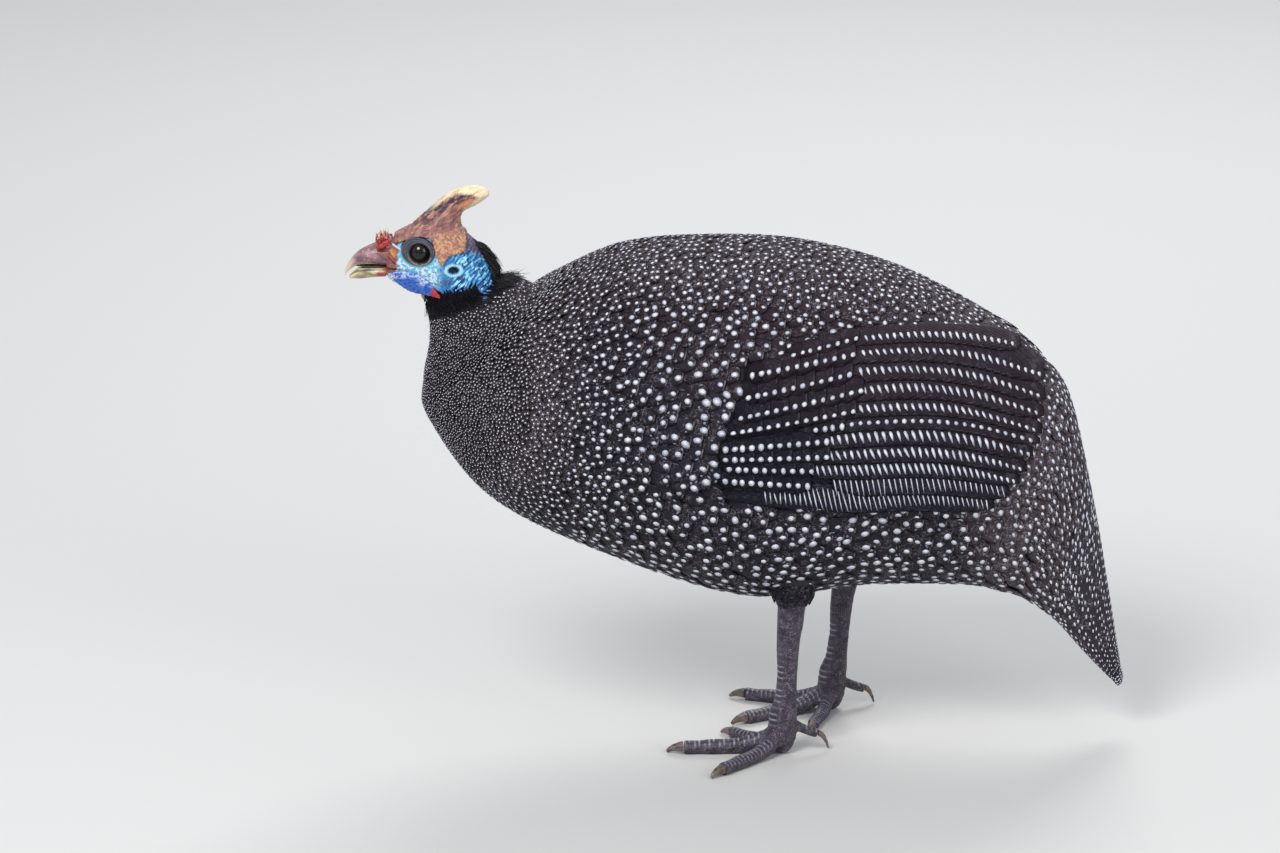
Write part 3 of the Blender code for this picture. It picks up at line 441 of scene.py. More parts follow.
class Finishes:
    """Every material of the model, made once each."""

    def __init__(self) -> None:
        """Starts with none made."""
        self.made: dict[str, bpy.types.Material] = {}

    def get(self, key: object) -> bpy.types.Material:
        """Args:
            key: a finish's dataclass, or a Look.
        Returns:
            Its material.
        """
        name = key.value if isinstance(key, Look) else key.name
        if name not in self.made:
            self.made[name] = getattr(self, "make_" + name)() if isinstance(key, Look) else key.make()
        return self.made[name]

    def make_skin(self) -> bpy.types.Material:
        """Returns: the skin, whose colour comes with the mesh and is speckled here, with streaks of painted shade and
        painted highlight on the hind face.
        """
        kit = Shader("skin")
        tint = kit.attribute("tint")
        patches = kit.noise(560.0, 3.0).step(0.43, 0.55) * kit.attribute("pale", "Fac")
        base = kit.mix(tint, colour(214, 232, 236), patches)
        hind = kit.attribute("hind", "Fac")
        slant = kit.stretched((0.42, 1.0, 1.25), (0.0, -0.85, 0.0))
        # Painted shade and painted highlight: dark navy and pale cyan streaks over the hind face's folds.
        base = kit.mix(base, colour(8, 46, 100), kit.noise(330.0, 3.0, slant).step(0.46, 0.57) * hind * 0.85)
        base = kit.mix(base, colour(150, 224, 246), kit.noise(520.0, 3.0, slant).step(0.55, 0.62) * hind * 0.9)
        dots = kit.noise(1050.0, 1.0).step(0.60, 0.68) * kit.attribute("speckle", "Fac")
        base = kit.mix(base, colour(16, 40, 96), dots)
        wet = kit.noise(500.0, 2.0) * 0.25 + 0.36
        relief = kit.cells(760.0) + kit.noise(1700.0, 3.0)
        return kit.finish(base, wet, relief, 0.0003, coat=0.04)

    def make_casque(self) -> bpy.types.Material:
        """Returns: the horn of the casque, coloured by place and mesh attribute."""
        kit = Shader("casque")
        grain = kit.stretched((0.34, 1.0, 1.35), (0.0, -0.72, 0.0))
        ridges = kit.noise(460.0, 3.0, grain)
        crease = ridges.near(0.5, 0.05) * kit.noise(300.0, 2.0).step(0.40, 0.56)
        edge, flap, streak = (kit.attribute(name, "Fac") for name in ("edge", "flap", "streak"))
        rough_part = (1.0 - edge) * (1.0 - flap * 0.8)
        base = kit.mix(colour(184, 132, 116), colour(138, 94, 88), kit.noise(230.0, 4.0).step(0.36, 0.66))
        base = kit.mix(base, colour(112, 76, 80), ridges.step(0.46, 0.62) * rough_part * 0.7)
        base = kit.mix(base, colour(62, 38, 56), streak * ridges.step(0.36, 0.52))
        granular = kit.mix(colour(194, 144, 110), colour(148, 102, 80), kit.noise(640.0, 3.0).step(0.42, 0.60))
        base = kit.mix(base, granular, flap)
        # Painted shade in the sunken creases.
        base = kit.mix(base, colour(74, 46, 46), crease * rough_part * (streak * 0.4 + 0.4))
        base = kit.mix(base, colour(206, 138, 92), kit.attribute("orange", "Fac") * 0.85)
        ivory = kit.mix(colour(232, 212, 176), colour(204, 168, 128), kit.noise(420.0, 3.0, grain).step(0.46, 0.70))
        base = kit.mix(base, ivory, edge)
        relief = (ridges * 1.4 - crease * 0.5) * rough_part + kit.noise(1300.0, 3.0) * 0.35
        return kit.finish(base, 0.5, relief, 0.0005, coat=0.04)

    def make_bill(self) -> bpy.types.Material:
        """Returns: the bill's horn: mauve above, olive below, ivory at the tip and edges."""
        kit = Shader("bill")
        streaks = kit.noise(300.0, 3.0, kit.stretched((0.45, 1.0, 1.3)))
        base = kit.mix(colour(158, 118, 124), colour(112, 78, 92), streaks.step(0.36, 0.62))
        base = kit.mix(base, colour(204, 172, 160), kit.noise(420.0, 2.0).step(0.56, 0.72) * 0.6)
        low = kit.mix(colour(186, 178, 138), colour(134, 122, 92), streaks.step(0.40, 0.66))
        base = kit.mix(base, low, kit.attribute("low", "Fac"))
        base = kit.mix(base, colour(226, 208, 176), kit.attribute("tip", "Fac"))
        base = kit.mix(base, colour(140, 88, 84), kit.attribute("rear", "Fac"))
        base = kit.mix(base, colour(150, 44, 42), kit.attribute("red", "Fac") * (kit.noise(420.0, 2.0) * 0.4 + 0.7))
        base = kit.mix(base, colour(64, 40, 38), kit.attribute("line", "Fac"))
        return kit.finish(base, 0.34, streaks + kit.noise(1500.0, 2.0) * 0.3, 0.00018, coat=0.1)

    def make_wattle(self) -> bpy.types.Material:
        """Returns: the wattle's blue skin with its red tip."""
        kit = Shader("wattle")
        base = kit.mix(colour(38, 108, 212), colour(24, 66, 152), kit.noise(480.0, 3.0).step(0.4, 0.65))
        pale = kit.noise(520.0, 3.0).step(0.40, 0.56) * kit.attribute("pale", "Fac")
        base = kit.mix(base, colour(184, 200, 228), pale)
        base = kit.mix(base, colour(18, 36, 96), kit.cells(1000.0).step(0.30, 0.14) * 0.7)
        red = kit.mix(colour(196, 40, 44), colour(140, 44, 44), kit.noise(500.0, 2.0).step(0.45, 0.60))
        base = kit.mix(base, red, kit.attribute("red", "Fac"))
        return kit.finish(base, 0.4, kit.noise(1300.0, 3.0), 0.0004, coat=0.05)

    def make_leg(self) -> bpy.types.Material:
        """Returns: the legs' slate skin with pale-edged scales."""
        kit = Shader("leg")
        net = kit.cells(820.0, "DISTANCE_TO_EDGE", kit.stretched((1.0, 1.0, 0.8)))
        small = 1.0 - kit.attribute("plate", "Fac")
        base = kit.mix(colour(66, 58, 76), colour(44, 39, 52), kit.noise(160.0, 3.0).step(0.35, 0.65))
        base = kit.mix(base, colour(128, 118, 126), net.step(0.12, 0.01) * kit.noise(260.0, 2.0).step(0.38, 0.58) * small * 0.7)
        base = kit.mix(base, colour(166, 164, 172), kit.attribute("scute", "Fac") * (kit.noise(330.0, 2.0) * 0.6 + 0.5))
        return kit.finish(base, 0.46, net.step(0.0, 0.3) * small, 0.0005)


# Forms


class BodyForm:
    """The bird's smooth body, from the head's front to the tail's tip, as places on rows."""

    def __init__(self) -> None:
        """Turns the table of rows into metres."""
        self.rows = np.array(SECTIONS)
        self.rows[:, :5] *= MM

    def ring(self, u: np.ndarray, angle: np.ndarray) -> np.ndarray:
        """Args:
            u: the places along the rows.
            angle: the angles, 0 at the top and positive down the left side.
        Returns:
            The surface's points.
        """
        row = catmull(self.rows, u)
        up = np.cos(angle)
        x = (row[..., 0] + row[..., 2]) / 2 + up * (row[..., 0] - row[..., 2]) / 2
        y = -row[..., 4] * np.sin(angle) * (1 - row[..., 5] * up)
        z = (row[..., 1] + row[..., 3]) / 2 + up * (row[..., 1] - row[..., 3]) / 2
        return np.stack((x, y, z), axis=-1)

    def points(self, u: np.ndarray, angle: np.ndarray, out: np.ndarray) -> np.ndarray:
        """Args:
            u, angle: the places, as for ring().
            out: how far out along the surface's normal.
        Returns:
            The points.
        """
        u, angle, out = np.broadcast_arrays(u, angle, out)
        inner = np.clip(u, 0.02, LAST_ROW - 0.02)
        along = self.ring(inner + 0.01, angle) - self.ring(inner - 0.01, angle)
        across = self.ring(u, angle + 0.01) - self.ring(u, angle - 0.01)
        normal = -np.cross(along, across)
        normal /= np.linalg.norm(normal, axis=-1, keepdims=True) + 1e-12
        return self.ring(u, angle) + normal * out[..., None]

    def flank(self, x: np.ndarray, z: np.ndarray) -> tuple[np.ndarray, np.ndarray]:
        """Finds where points of the side view lie.

        Args:
            x, z: the points of the side view.
        Returns:
            Their places along the rows and their angles on the left side.
        """
        low = np.full(x.shape, 10.3)
        high = np.full(x.shape, float(LAST_ROW))
        for _ in range(28):
            middle = (low + high) / 2
            row = catmull(self.rows, middle)
            side = (row[..., 2] - row[..., 0]) * (z - row[..., 1]) - (row[..., 3] - row[..., 1]) * (x - row[..., 0])
            low = np.where(side > 0, middle, low)
            high = np.where(side > 0, high, middle)
        row = catmull(self.rows, low)
        dx, dz = row[..., 0] - row[..., 2], row[..., 1] - row[..., 3]
        share = ((x - row[..., 2]) * dx + (z - row[..., 3]) * dz) / (dx * dx + dz * dz)
        return low, np.arccos(np.clip(2 * share - 1, -0.99, 0.99))


def wing_height(x: np.ndarray, z: np.ndarray) -> np.ndarray:
    """How far the folded wing stands out from the body.

    Args:
        x, z: places in the side view, in metres.
    Returns:
        The heights in metres.
    """
    fine = catmull(np.array(WING, dtype=float), np.linspace(0, len(WING) - 1, 120))
    x, z = x / MM, z / MM
    top, low = np.interp(x, fine[:, 0], fine[:, 1]), np.interp(x, fine[:, 0], fine[:, 2])
    high = smooth(top - z, -3.0, 12.0) * smooth(z - low, -0.6, 1.4)
    return WING_DEPTH * MM * high * smooth(x, -75.0, -42.0) * smooth(x, 166.0, 142.0)


class CoatForm:
    """The body with the folded wings' height added, read by rows and angles."""

    def __init__(self, body: "BodyForm") -> None:
        """Args:
            body: the body it covers.
        """
        self.body = body

    def points(self, u: np.ndarray, angle: np.ndarray, out: np.ndarray) -> np.ndarray:
        """Args:
            u, angle: the places, as for the body.
            out: how far out.
        Returns:
            The points.
        """
        bare = self.body.ring(*np.broadcast_arrays(u, angle))
        return self.body.points(u, angle, out + wing_height(bare[..., 0], bare[..., 2]))


class FlankForm:
    """The body's flank on one side, with the wing's height, read by places in the side view."""

    def __init__(self, body: BodyForm, side: int) -> None:
        """Args:
            body: the body it lies on.
            side: -1 for the left side, 1 for the right.
        """
        self.body = body
        self.side = side

    def points(self, x: np.ndarray, z: np.ndarray, out: np.ndarray) -> np.ndarray:
        """Args:
            x, z: the places in the side view, in metres.
            out: how far out.
        Returns:
            The points.
        """
        x, z, out = np.broadcast_arrays(x, z, out)
        u, angle = self.body.flank(x, z)
        point = self.body.points(u, angle, out + wing_height(x, z))
        point[..., 1] *= -self.side
        return point


class RowForm(FlankForm):
    """The folded wing, read along its rows of marks: x, then the row's number, whole or between two."""

    def heights(self, x: np.ndarray, row: np.ndarray) -> np.ndarray:
        """Args:
            x: the places along the rows, in millimetres.
            row: the rows' numbers.
        Returns:
            The heights in the side view, in millimetres.
        """
        table = np.array(WING_ROWS)
        number = np.arange(len(table))
        level, slope, fall = (np.interp(row, number, table[:, k]) for k in range(3))
        level = level + 9.0 * (np.minimum(row, 0) * -1 - np.maximum(row - number[-1], 0))
        ahead, behind = np.minimum(x - 64.0, 0.0), np.maximum(x - 80.0, 0.0)
        return level + slope * ahead - fall * behind**2

    def points(self, x: np.ndarray, row: np.ndarray, out: np.ndarray) -> np.ndarray:
        """Args:
            x: the places along the rows, in metres.
            row: the rows' numbers.
            out: how far out.
        Returns:
            The points.
        """
        x, row, out = np.broadcast_arrays(x, row, out)
        return super().points(x, self.heights(x / MM, row) * MM, out)


# Meshes


def mesh_piece(name: str, points: np.ndarray, faces: np.ndarray, place: np.ndarray | None = None,
               vane: np.ndarray | None = None) -> bpy.types.Object:
    """Makes an object from arrays.

    Args:
        name: the object's name.
        points: its vertices.
        faces: its faces, with equally many corners each.
        place: each vertex's place on the bake map, if it has one.
        vane: each vertex's place on its own feather, if it has one.
    Returns:
        The object.
    """
    mesh = bpy.data.meshes.new(name)
    mesh.from_pydata(points.reshape(-1, 3).tolist(), [], faces.tolist())
    mesh.polygons.foreach_set("use_smooth", np.ones(len(mesh.polygons), dtype=bool))
    corner = np.empty(len(mesh.loops), dtype=np.int32)
    mesh.loops.foreach_get("vertex_index", corner)
    for title, values in (("OFBake", place), ("Vane", vane)):
        if values is not None:
            layer = mesh.uv_layers.new(name=title)
            layer.data.foreach_set("uv", values.reshape(-1, 2)[corner].astype(np.float32).ravel())
    made = bpy.data.objects.new(name, mesh)
    bpy.context.scene.collection.objects.link(made)
    return made


@dataclass
class Template:
    """A closed lens-like blade: its places along and across, and which face it belongs to."""

    along: np.ndarray
    across: np.ndarray
    upper: np.ndarray
    faces: np.ndarray

    @staticmethod
    def lens(shares: Sequence[float], columns: int, outline: Callable[[np.ndarray], np.ndarray]) -> "Template":
        """Makes a blade with an upper and a lower face that share their rim.

        Args:
            shares: the rows' places along the blade, from 0 to 1.
            columns: how many columns of points.
            outline: the half width at each place, 1 for the widest.
        Returns:
            The template.
        """
        rows = len(shares)
        t, s = np.meshgrid(np.array(shares), np.linspace(-1, 1, columns), indexing="ij")
        s = s * outline(t)
        number = np.arange(rows * columns).reshape(rows, columns)
        lower = number.copy()
        lower[1:-1, 1:-1] = rows * columns + np.arange((rows - 2) * (columns - 2)).reshape(rows - 2, columns - 2)
        quads = []
        for i, j in np.ndindex(rows - 1, columns - 1):
            above = (number[i, j], number[i + 1, j], number[i + 1, j + 1], number[i, j + 1])
            below = (lower[i, j], lower[i, j + 1], lower[i + 1, j + 1], lower[i + 1, j])
            # A quad is split from its first corner, so the split at each corner runs inwards.
            turn = int((2 * i < rows - 1) == (2 * j >= columns - 1))
            quads.extend((np.roll(above, turn), np.roll(below, turn)))
        inner_t, inner_s = t[1:-1, 1:-1].ravel(), s[1:-1, 1:-1].ravel()
        edge = np.ones((rows, columns))
        edge[0, :] = edge[-1, :] = edge[:, 0] = edge[:, -1] = 0.5
        return Template(
            np.concatenate((t.ravel(), inner_t)), np.concatenate((s.ravel(), inner_s)),
            np.concatenate((edge.ravel(), np.zeros(len(inner_t)))), np.array(quads))

    def tapered(self, share: float) -> "Template":
        """Args:
            share: how much narrower it is at its lower end than in its middle.
        Returns:
            The template as a drop.
        """
        return Template(self.along * (1 - share * self.across), self.across, self.upper, self.faces)

    def flipped(self) -> "Template":
        """Returns: the template with its faces turned over."""
        return Template(self.along, self.across, self.upper, np.roll(self.faces[:, ::-1], 1, axis=1))

    @staticmethod
    def dot(sides: int) -> "Template":
        """Makes a low closed dome of triangles, one unit in radius.

        Args:
            sides: how many sides.
        Returns:
            The template.
        """
        angle = np.arange(sides) * 2 * math.pi / sides
        faces = [(i, (i + 1) % sides, sides) for i in range(sides)]
        faces += [((i + 1) % sides, i, sides + 1) for i in range(sides)]
        return Template(
            np.append(np.cos(angle), (0, 0)), np.append(np.sin(angle), (0, 0)),
            np.append(np.full(sides, 0.35), (1, 0)), np.array(faces))


def vane_outline(t: np.ndarray) -> np.ndarray:
    """Args:
        t: the places along a body feather.
    Returns:
        Its half width there, 1 for the widest.
    """
    return np.where(t < 0.5, 0.62 + 0.76 * t, np.sqrt(np.clip(1 - ((t - 0.5) / 0.53) ** 2, 0.08, 1)))


def blade_outline(t: np.ndarray) -> np.ndarray:
    """Args:
        t: the places along a flight feather.
    Returns:
        Its half width there, 1 for the widest.
    """
    return np.minimum(0.55 + 2.5 * t, 1) * np.sqrt(np.clip(1 - ((t - 0.80) / 0.21).clip(0) ** 2, 0.10, 1))


@dataclass
class Vanes:
    """Many feathers over a form, each from its root to its tip."""

    form: object
    root: np.ndarray
    way: np.ndarray
    half: np.ndarray
    low: np.ndarray
    high: np.ndarray
    arch: float = 0.0005
    thick: float = 0.0004
    tilt: float = 0.0
    net: np.ndarray | float = 0.3
    home: np.ndarray = field(default_factory=lambda: np.zeros((0, 2)))

    def place(self, who: np.ndarray, t: np.ndarray, s: np.ndarray, lift: np.ndarray) -> np.ndarray:
        """Finds points on chosen feathers.

        Args:
            who: which feather each line is of.
            t: the places along it.
            s: the places across it, 1 at the edge.
            lift: how far over its lower face.
        Returns:
            The points.
        """
        step = self.half[who][:, None, :] * s[..., None]
        spot = self.root[who][:, None, :] + self.way[who][:, None, :] * t[..., None] + step
        low, high = self.low[who, None], self.high[who, None]
        rise = low + (high - low) * (1 - (1 - np.clip(t, 0, 1)) ** 2)
        rise = rise + self.arch * (1 - np.clip(s, -1, 1) ** 2) * np.clip(t * 3, 0, 1) + self.tilt * s
        return self.form.points(spot[..., 0], spot[..., 1], rise + lift)

    def build(self, name: str, template: Template, patch: float = 0.0032) -> bpy.types.Object:
        """Makes the feathers' joined mesh.

        Args:
            name: the object's name.
            template: the blade's shape.
            patch: how wide each feather's patch on the bake map is.
        Returns:
            The object.
        """
        count, size = len(self.root), len(template.along)
        who = np.arange(count)
        t = np.broadcast_to(template.along, (count, size))
        s = np.broadcast_to(template.across, (count, size))
        lift = np.broadcast_to(template.upper * self.thick, (count, size))
        points = self.place(who, t, s, lift)
        faces = (template.faces[None] + (who * size)[:, None, None]).reshape(-1, template.faces.shape[1])
        patch_place = np.stack((t - 0.5, s * 0.5), axis=-1) * patch + self.home[:, None, :]
        own = np.stack((np.clip(t, 0, 1), 0.5 + 0.5 * s), axis=-1)
        piece = mesh_piece(name, points, faces, patch_place, own)
        made = piece.data.attributes.new("net", "FLOAT", "POINT")
        made.data.foreach_set("value", np.repeat(np.broadcast_to(self.net, (count,)), size).astype(np.float32))
        return piece

    def spots(self, name: str, template: Template, who: np.ndarray, t: np.ndarray, s: np.ndarray,
              size: np.ndarray, turn: np.ndarray, lift: float = 0.00012, dome: float = 0.00025,
              patch: float = 0.0032) -> bpy.types.Object:
        """Makes raised pale spots or bars on chosen feathers.

        Args:
            name: the object's name.
            template: the spot's shape, one unit in radius.
            who: the feather each spot is on.
            t, s: where it is on the feather.
            size: half its length along and across the feather, in the form's units by way and half.
            turn: how far it is turned, in radians.
            lift, dome: its rim's and its middle's height over the feather's upper face.
            patch: how wide each spot's patch on the bake map is.
        Returns:
            The object.
        """
        count = len(who)
        a, b = template.along[None], template.across[None]
        long = a * size[:, :1]
        wide = b * size[:, 1:2]
        cos, sin = np.cos(turn)[:, None], np.sin(turn)[:, None]
        length = self.reach[who][:, None]
        breadth = self.breadth[who][:, None]
        spot_t = t[:, None] + (long * cos - wide * sin) / length
        spot_s = s[:, None] + (long * sin + wide * cos) / breadth
        up = self.thick + lift + dome * (template.upper[None] - 0.35) + np.zeros_like(spot_t)
        up = np.where(template.upper[None] == 0, self.thick - 0.0002, up)
        points = self.place(who, spot_t, spot_s, up)
        faces = (template.faces[None] + (np.arange(count) * len(template.along))[:, None, None]).reshape(-1, 3)
        where = np.stack((a, b), axis=-1) * patch / 2 + self.home[who][:, None, :]
        where = where + np.stack(((t - 0.8) * 0.01, s * 0.004), axis=-1)[:, None, :]
        return mesh_piece(name, points, faces, np.broadcast_to(where, (count, len(template.along), 2)))

    def measure(self) -> None:
        """Finds each feather's length and half width in metres on its form."""
        count = len(self.root)
        who = np.arange(count)
        zero, one = np.zeros((count, 1)), np.ones((count, 1))
        self.reach = np.linalg.norm(self.place(who, one * 0.7, zero, zero) - self.place(who, one * 0.3, zero, zero),
                                    axis=-1)[:, 0] / 0.4 + 1e-6
        self.breadth = np.linalg.norm(self.place(who, one * 0.6, one * 0.5, zero) - self.place(
            who, one * 0.6, -one * 0.5, zero), axis=-1)[:, 0] + 1e-6


def unit_square(values: np.ndarray) -> np.ndarray:
    """Args:
        values: places on an unwrap, two to a line.
    Returns:
        The same spread over the bake map from edge to edge.
    """
    low, high = values.min(axis=0), values.max(axis=0)
    return 0.02 + 0.96 * (values - low) / np.maximum(high - low, 1e-9)


# Pieces


class Assembly:
    """What every part of the model shares."""

    def __init__(self, finishes: Finishes) -> None:
        """Args:
            finishes: the model's materials.
        """
        self.finishes = finishes
        self.log = logging.getLogger(type(self).__name__)

    def declare(self, piece: bpy.types.Object, look: object, slot: str, *nodes: str) -> bpy.types.Object:
        """Gives a piece its finish, puts it under the root and hides the solids that it stands for.

        Args:
            piece: the piece.
            look: its finish, or None if it has its own.
            slot: not used.
            nodes: the solids that it stands for.
        Returns:
            The piece.
        """
        if look is not None:
            piece.data.materials.clear()
            piece.data.materials.append(self.finishes.get(look))
        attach(piece, "root")
        if nodes:
            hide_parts(*nodes)
        self.log.info("%s: %d faces", piece.name, len(piece.data.polygons))
        return piece

    def copy_of(self, name: str, *nodes: str) -> bpy.types.Object:
        """Merges copies of solids.

        Args:
            name: the new object's name.
            nodes: the solids.
        Returns:
            The new object.
        """
        shape = bmesh.new()
        for node in nodes:
            shape.from_mesh(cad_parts[node].data)
        bmesh.ops.remove_doubles(shape, verts=shape.verts, dist=1e-6)
        mesh = bpy.data.meshes.new(name)
        shape.to_mesh(mesh)
        shape.free()
        made = bpy.data.objects.new(name, mesh)
        bpy.context.scene.collection.objects.link(made)
        return made

    def remeshed(self, piece: bpy.types.Object, voxel: float, rounds: int) -> np.ndarray:
        """Turns a piece into one fine smooth mesh.

        Args:
            piece: the piece.
            voxel: the new mesh's step.
            rounds: how often it is smoothed.
        Returns:
            Its points.
        """
        change = piece.modifiers.new("fine", "REMESH")
        change.mode = "VOXEL"
        change.voxel_size = voxel
        graph = bpy.context.evaluated_depsgraph_get()
        mesh = bpy.data.meshes.new_from_object(piece.evaluated_get(graph))
        piece.modifiers.clear()
        piece.data = mesh
        shape = bmesh.new()
        shape.from_mesh(mesh)
        for _ in range(rounds):
            bmesh.ops.smooth_vert(shape, verts=shape.verts, factor=0.5, use_axis_x=True, use_axis_y=True, use_axis_z=True)
        shape.to_mesh(mesh)
        shape.free()
        mesh.polygons.foreach_set("use_smooth", np.ones(len(mesh.polygons), dtype=bool))
        return points_of(piece)

    @staticmethod
    def paint(piece: bpy.types.Object, name: str, values: np.ndarray) -> None:
        """Adds a number to each vertex.

        Args:
            piece: the piece.
            name: the attribute's name.
            values: the numbers.
        """
        made = piece.data.attributes.new(name, "FLOAT", "POINT")
        made.data.foreach_set("value", values.astype(np.float32))


def points_of(piece: bpy.types.Object) -> np.ndarray:
    """Args:
        piece: a piece.
    Returns:
        Its vertices' places.
    """
    points = np.empty(len(piece.data.vertices) * 3, dtype=np.float32)
    piece.data.vertices.foreach_get("co", points)
    return points.reshape(-1, 3).astype(float)


def move_points(piece: bpy.types.Object, points: np.ndarray) -> None:
    """Args:
        piece: a piece.
        points: its vertices' new places.
    """
    piece.data.vertices.foreach_set("co", points.astype(np.float32).ravel())
    piece.data.update()


def normals_of(piece: bpy.types.Object) -> np.ndarray:
    """Args:
        piece: a piece.
    Returns:
        Its vertices' normals.
    """
    normals = np.empty(len(piece.data.vertices) * 3, dtype=np.float32)
    piece.data.vertex_normals.foreach_get("vector", normals)
    return normals.reshape(-1, 3).astype(float)


class Skin(Assembly):
    """The one skin of head, neck, body and tail."""

    HEAD_ROWS = 150
    BODY_ROWS = 120
    SIDES = 224
    HEAD_SHARE = 0.55

    def build(self, body: BodyForm) -> None:
        """Args:
            body: the body's form.
        """
        rows = self.HEAD_ROWS + self.BODY_ROWS
        shape = bmesh.new()
        bmesh.ops.create_grid(shape, x_segments=rows, y_segments=self.SIDES, size=1.0)
        flat = np.array([vert.co[:2] for vert in shape.verts])
        across = (flat[:, 0] + 1) / 2
        turn = (flat[:, 1] + 1) / 2
        head = np.clip(across / self.HEAD_SHARE, 0, 1) * 8.8
        rest = np.clip((across - self.HEAD_SHARE) / (1 - self.HEAD_SHARE), 0, 1) * (LAST_ROW - 8.8)
        u, angle = head + rest, turn * 2 * math.pi
        base = body.points(u, angle, np.zeros_like(u))
        x, z = base[:, 0] / MM, base[:, 2] / MM
        bare = inside_by(BARE_SKIN, x, z)
        self.tints(x, z, bare, base[:, 1] / MM)
        half = catmull(body.rows, u)[:, 4]
        depth = smooth(-bare, 0.0, 5.0) * np.minimum(0.0011 + 0.0016 * smooth(u, 9.0, 12.5), half * 0.5)
        out = self.relief(x, z, base[:, 1] / MM, bare) * MM - depth
        out = out - 0.0013 * smooth(u, 0.55, 0.05)
        points = body.points(u, angle, out)
        for vert, point in zip(shape.verts, points):
            vert.co = point
        layer = shape.loops.layers.uv.new("OFBake")
        for face in shape.faces:
            for loop in face.loops:
                k = loop.vert.index
                loop[layer].uv = (0.004 + 0.992 * across[k], 0.004 + 0.992 * turn[k])
        mesh = bpy.data.meshes.new("skin_body")
        for name, values in (("pale", self.pale), ("speckle", self.speckle), ("hind", self.hind)):
            made = shape.verts.layers.float.new(name)
            for vert, value in zip(shape.verts, values):
                vert[made] = value
        made = shape.verts.layers.float_color.new("tint")
        for vert, value in zip(shape.verts, self.tint):
            vert[made] = value
        bmesh.ops.remove_doubles(shape, verts=shape.verts, dist=1e-6)
        rims = [edge for edge in shape.edges if edge.is_boundary]
        bmesh.ops.holes_fill(shape, edges=rims, sides=0)
        bmesh.ops.recalc_face_normals(shape, faces=shape.faces)
        shape.to_mesh(mesh)
        shape.free()
        mesh.polygons.foreach_set("use_smooth", np.ones(len(mesh.polygons), dtype=bool))
        piece = bpy.data.objects.new("skin_body", mesh)
        bpy.context.scene.collection.objects.link(piece)
        self.declare(piece, Look.SKIN, "bare_skin", "head", "neck", "torso")

    def relief(self, x: np.ndarray, z: np.ndarray, y: np.ndarray, bare: np.ndarray) -> np.ndarray:
        """Shapes the lids, the ear, the mouth's slit and the skin's folds.

        Args:
            x, y, z: the points, in millimetres.
            bare: how deep they lie in the bare skin.
        Returns:
            How far out each point moves, in millimetres.
        """
        eye = np.hypot(x - EYE[0], (z - EYE[2]) * 1.06)
        almond = np.hypot((x - EYE[0] + 1.0) / 1.24, z - EYE[2] - 0.9)
        sided = smooth(np.abs(y), 5.0, 9.0)
        mixed = eye + (almond - eye) * smooth(eye, 5.4, 7.6)
        lids = 1.15 * smooth(mixed, 8.2, 6.6) - 4.6 * smooth(eye, 5.8, 4.5)
        lids += 0.5 * np.cos((mixed - 5.7) * 2 * math.pi / 1.15) * smooth(eye, 5.2, 5.8) * smooth(mixed, 8.2, 7.2)
        ear = np.hypot((x - EAR[0]) / 2.9, (z - EAR[1]) / 2.0)
        hole = -2.6 * smooth(ear, 1.05, 0.55) + 0.6 * np.exp(-((ear - 1.45) / 0.33) ** 2)
        mouth = GAPE[1] + (GAPE[0] - x) * 0.05
        slit = -1.1 * np.exp(-((z - mouth) / 0.6) ** 2) * smooth(x, GAPE[0] + 1.2, GAPE[0] - 1.0)
        lips = 0.5 * np.exp(-((np.abs(z - mouth) - 1.4) / 0.7) ** 2) * smooth(x, GAPE[0] + 2.0, GAPE[0] - 0.5)
        away = smooth(mixed, 8.0, 10.0) * smooth(ear, 1.6, 2.4)
        hind = smooth(x, -160.0, -152.0)
        folds = 0.34 * np.sin(self.wave(x, z) * 2 * math.pi) * hind
        lumps = 0.2 * np.sin(x * 1.9 + 1.3 * np.sin(z * 1.1)) * np.sin(z * 2.3 + 1.1 * np.sin(x * 1.3)) * (1 - hind)
        inside = smooth(bare, 0.0, 2.0)
        return sided * (lids + hole + slit + lips) + (folds + lumps) * away * inside

    @staticmethod
    def wave(x: np.ndarray, z: np.ndarray) -> np.ndarray:
        """Args:
            x, z: points, in millimetres.
        Returns:
            How many folds of the hind face lie before each point.
        """
        return (x * 0.70 - z * 0.72 + 0.55 * np.sin(z * 0.45 + 1.0) + 0.45 * np.sin(x * 0.5 + z * 0.3)) / 2.1

    def tints(self, x: np.ndarray, z: np.ndarray, bare: np.ndarray, y: np.ndarray) -> None:
        """Colours the skin by its regions.

        Args:
            x, y, z: the points, in millimetres.
            bare: how deep they lie in the bare skin.
        """
        under, azure = np.array(colour(20, 18, 24)), np.array(colour(22, 118, 184))
        tint = np.tile(azure, (len(x), 1))

        def lay(shade: tuple[float, float, float, float], share: np.ndarray) -> None:
            """Args:
                shade: the colour laid over.
                share: how strongly at each point.
            """
            nonlocal tint
            tint = tint + (np.array(shade) - tint) * np.clip(share, 0, 1)[:, None]

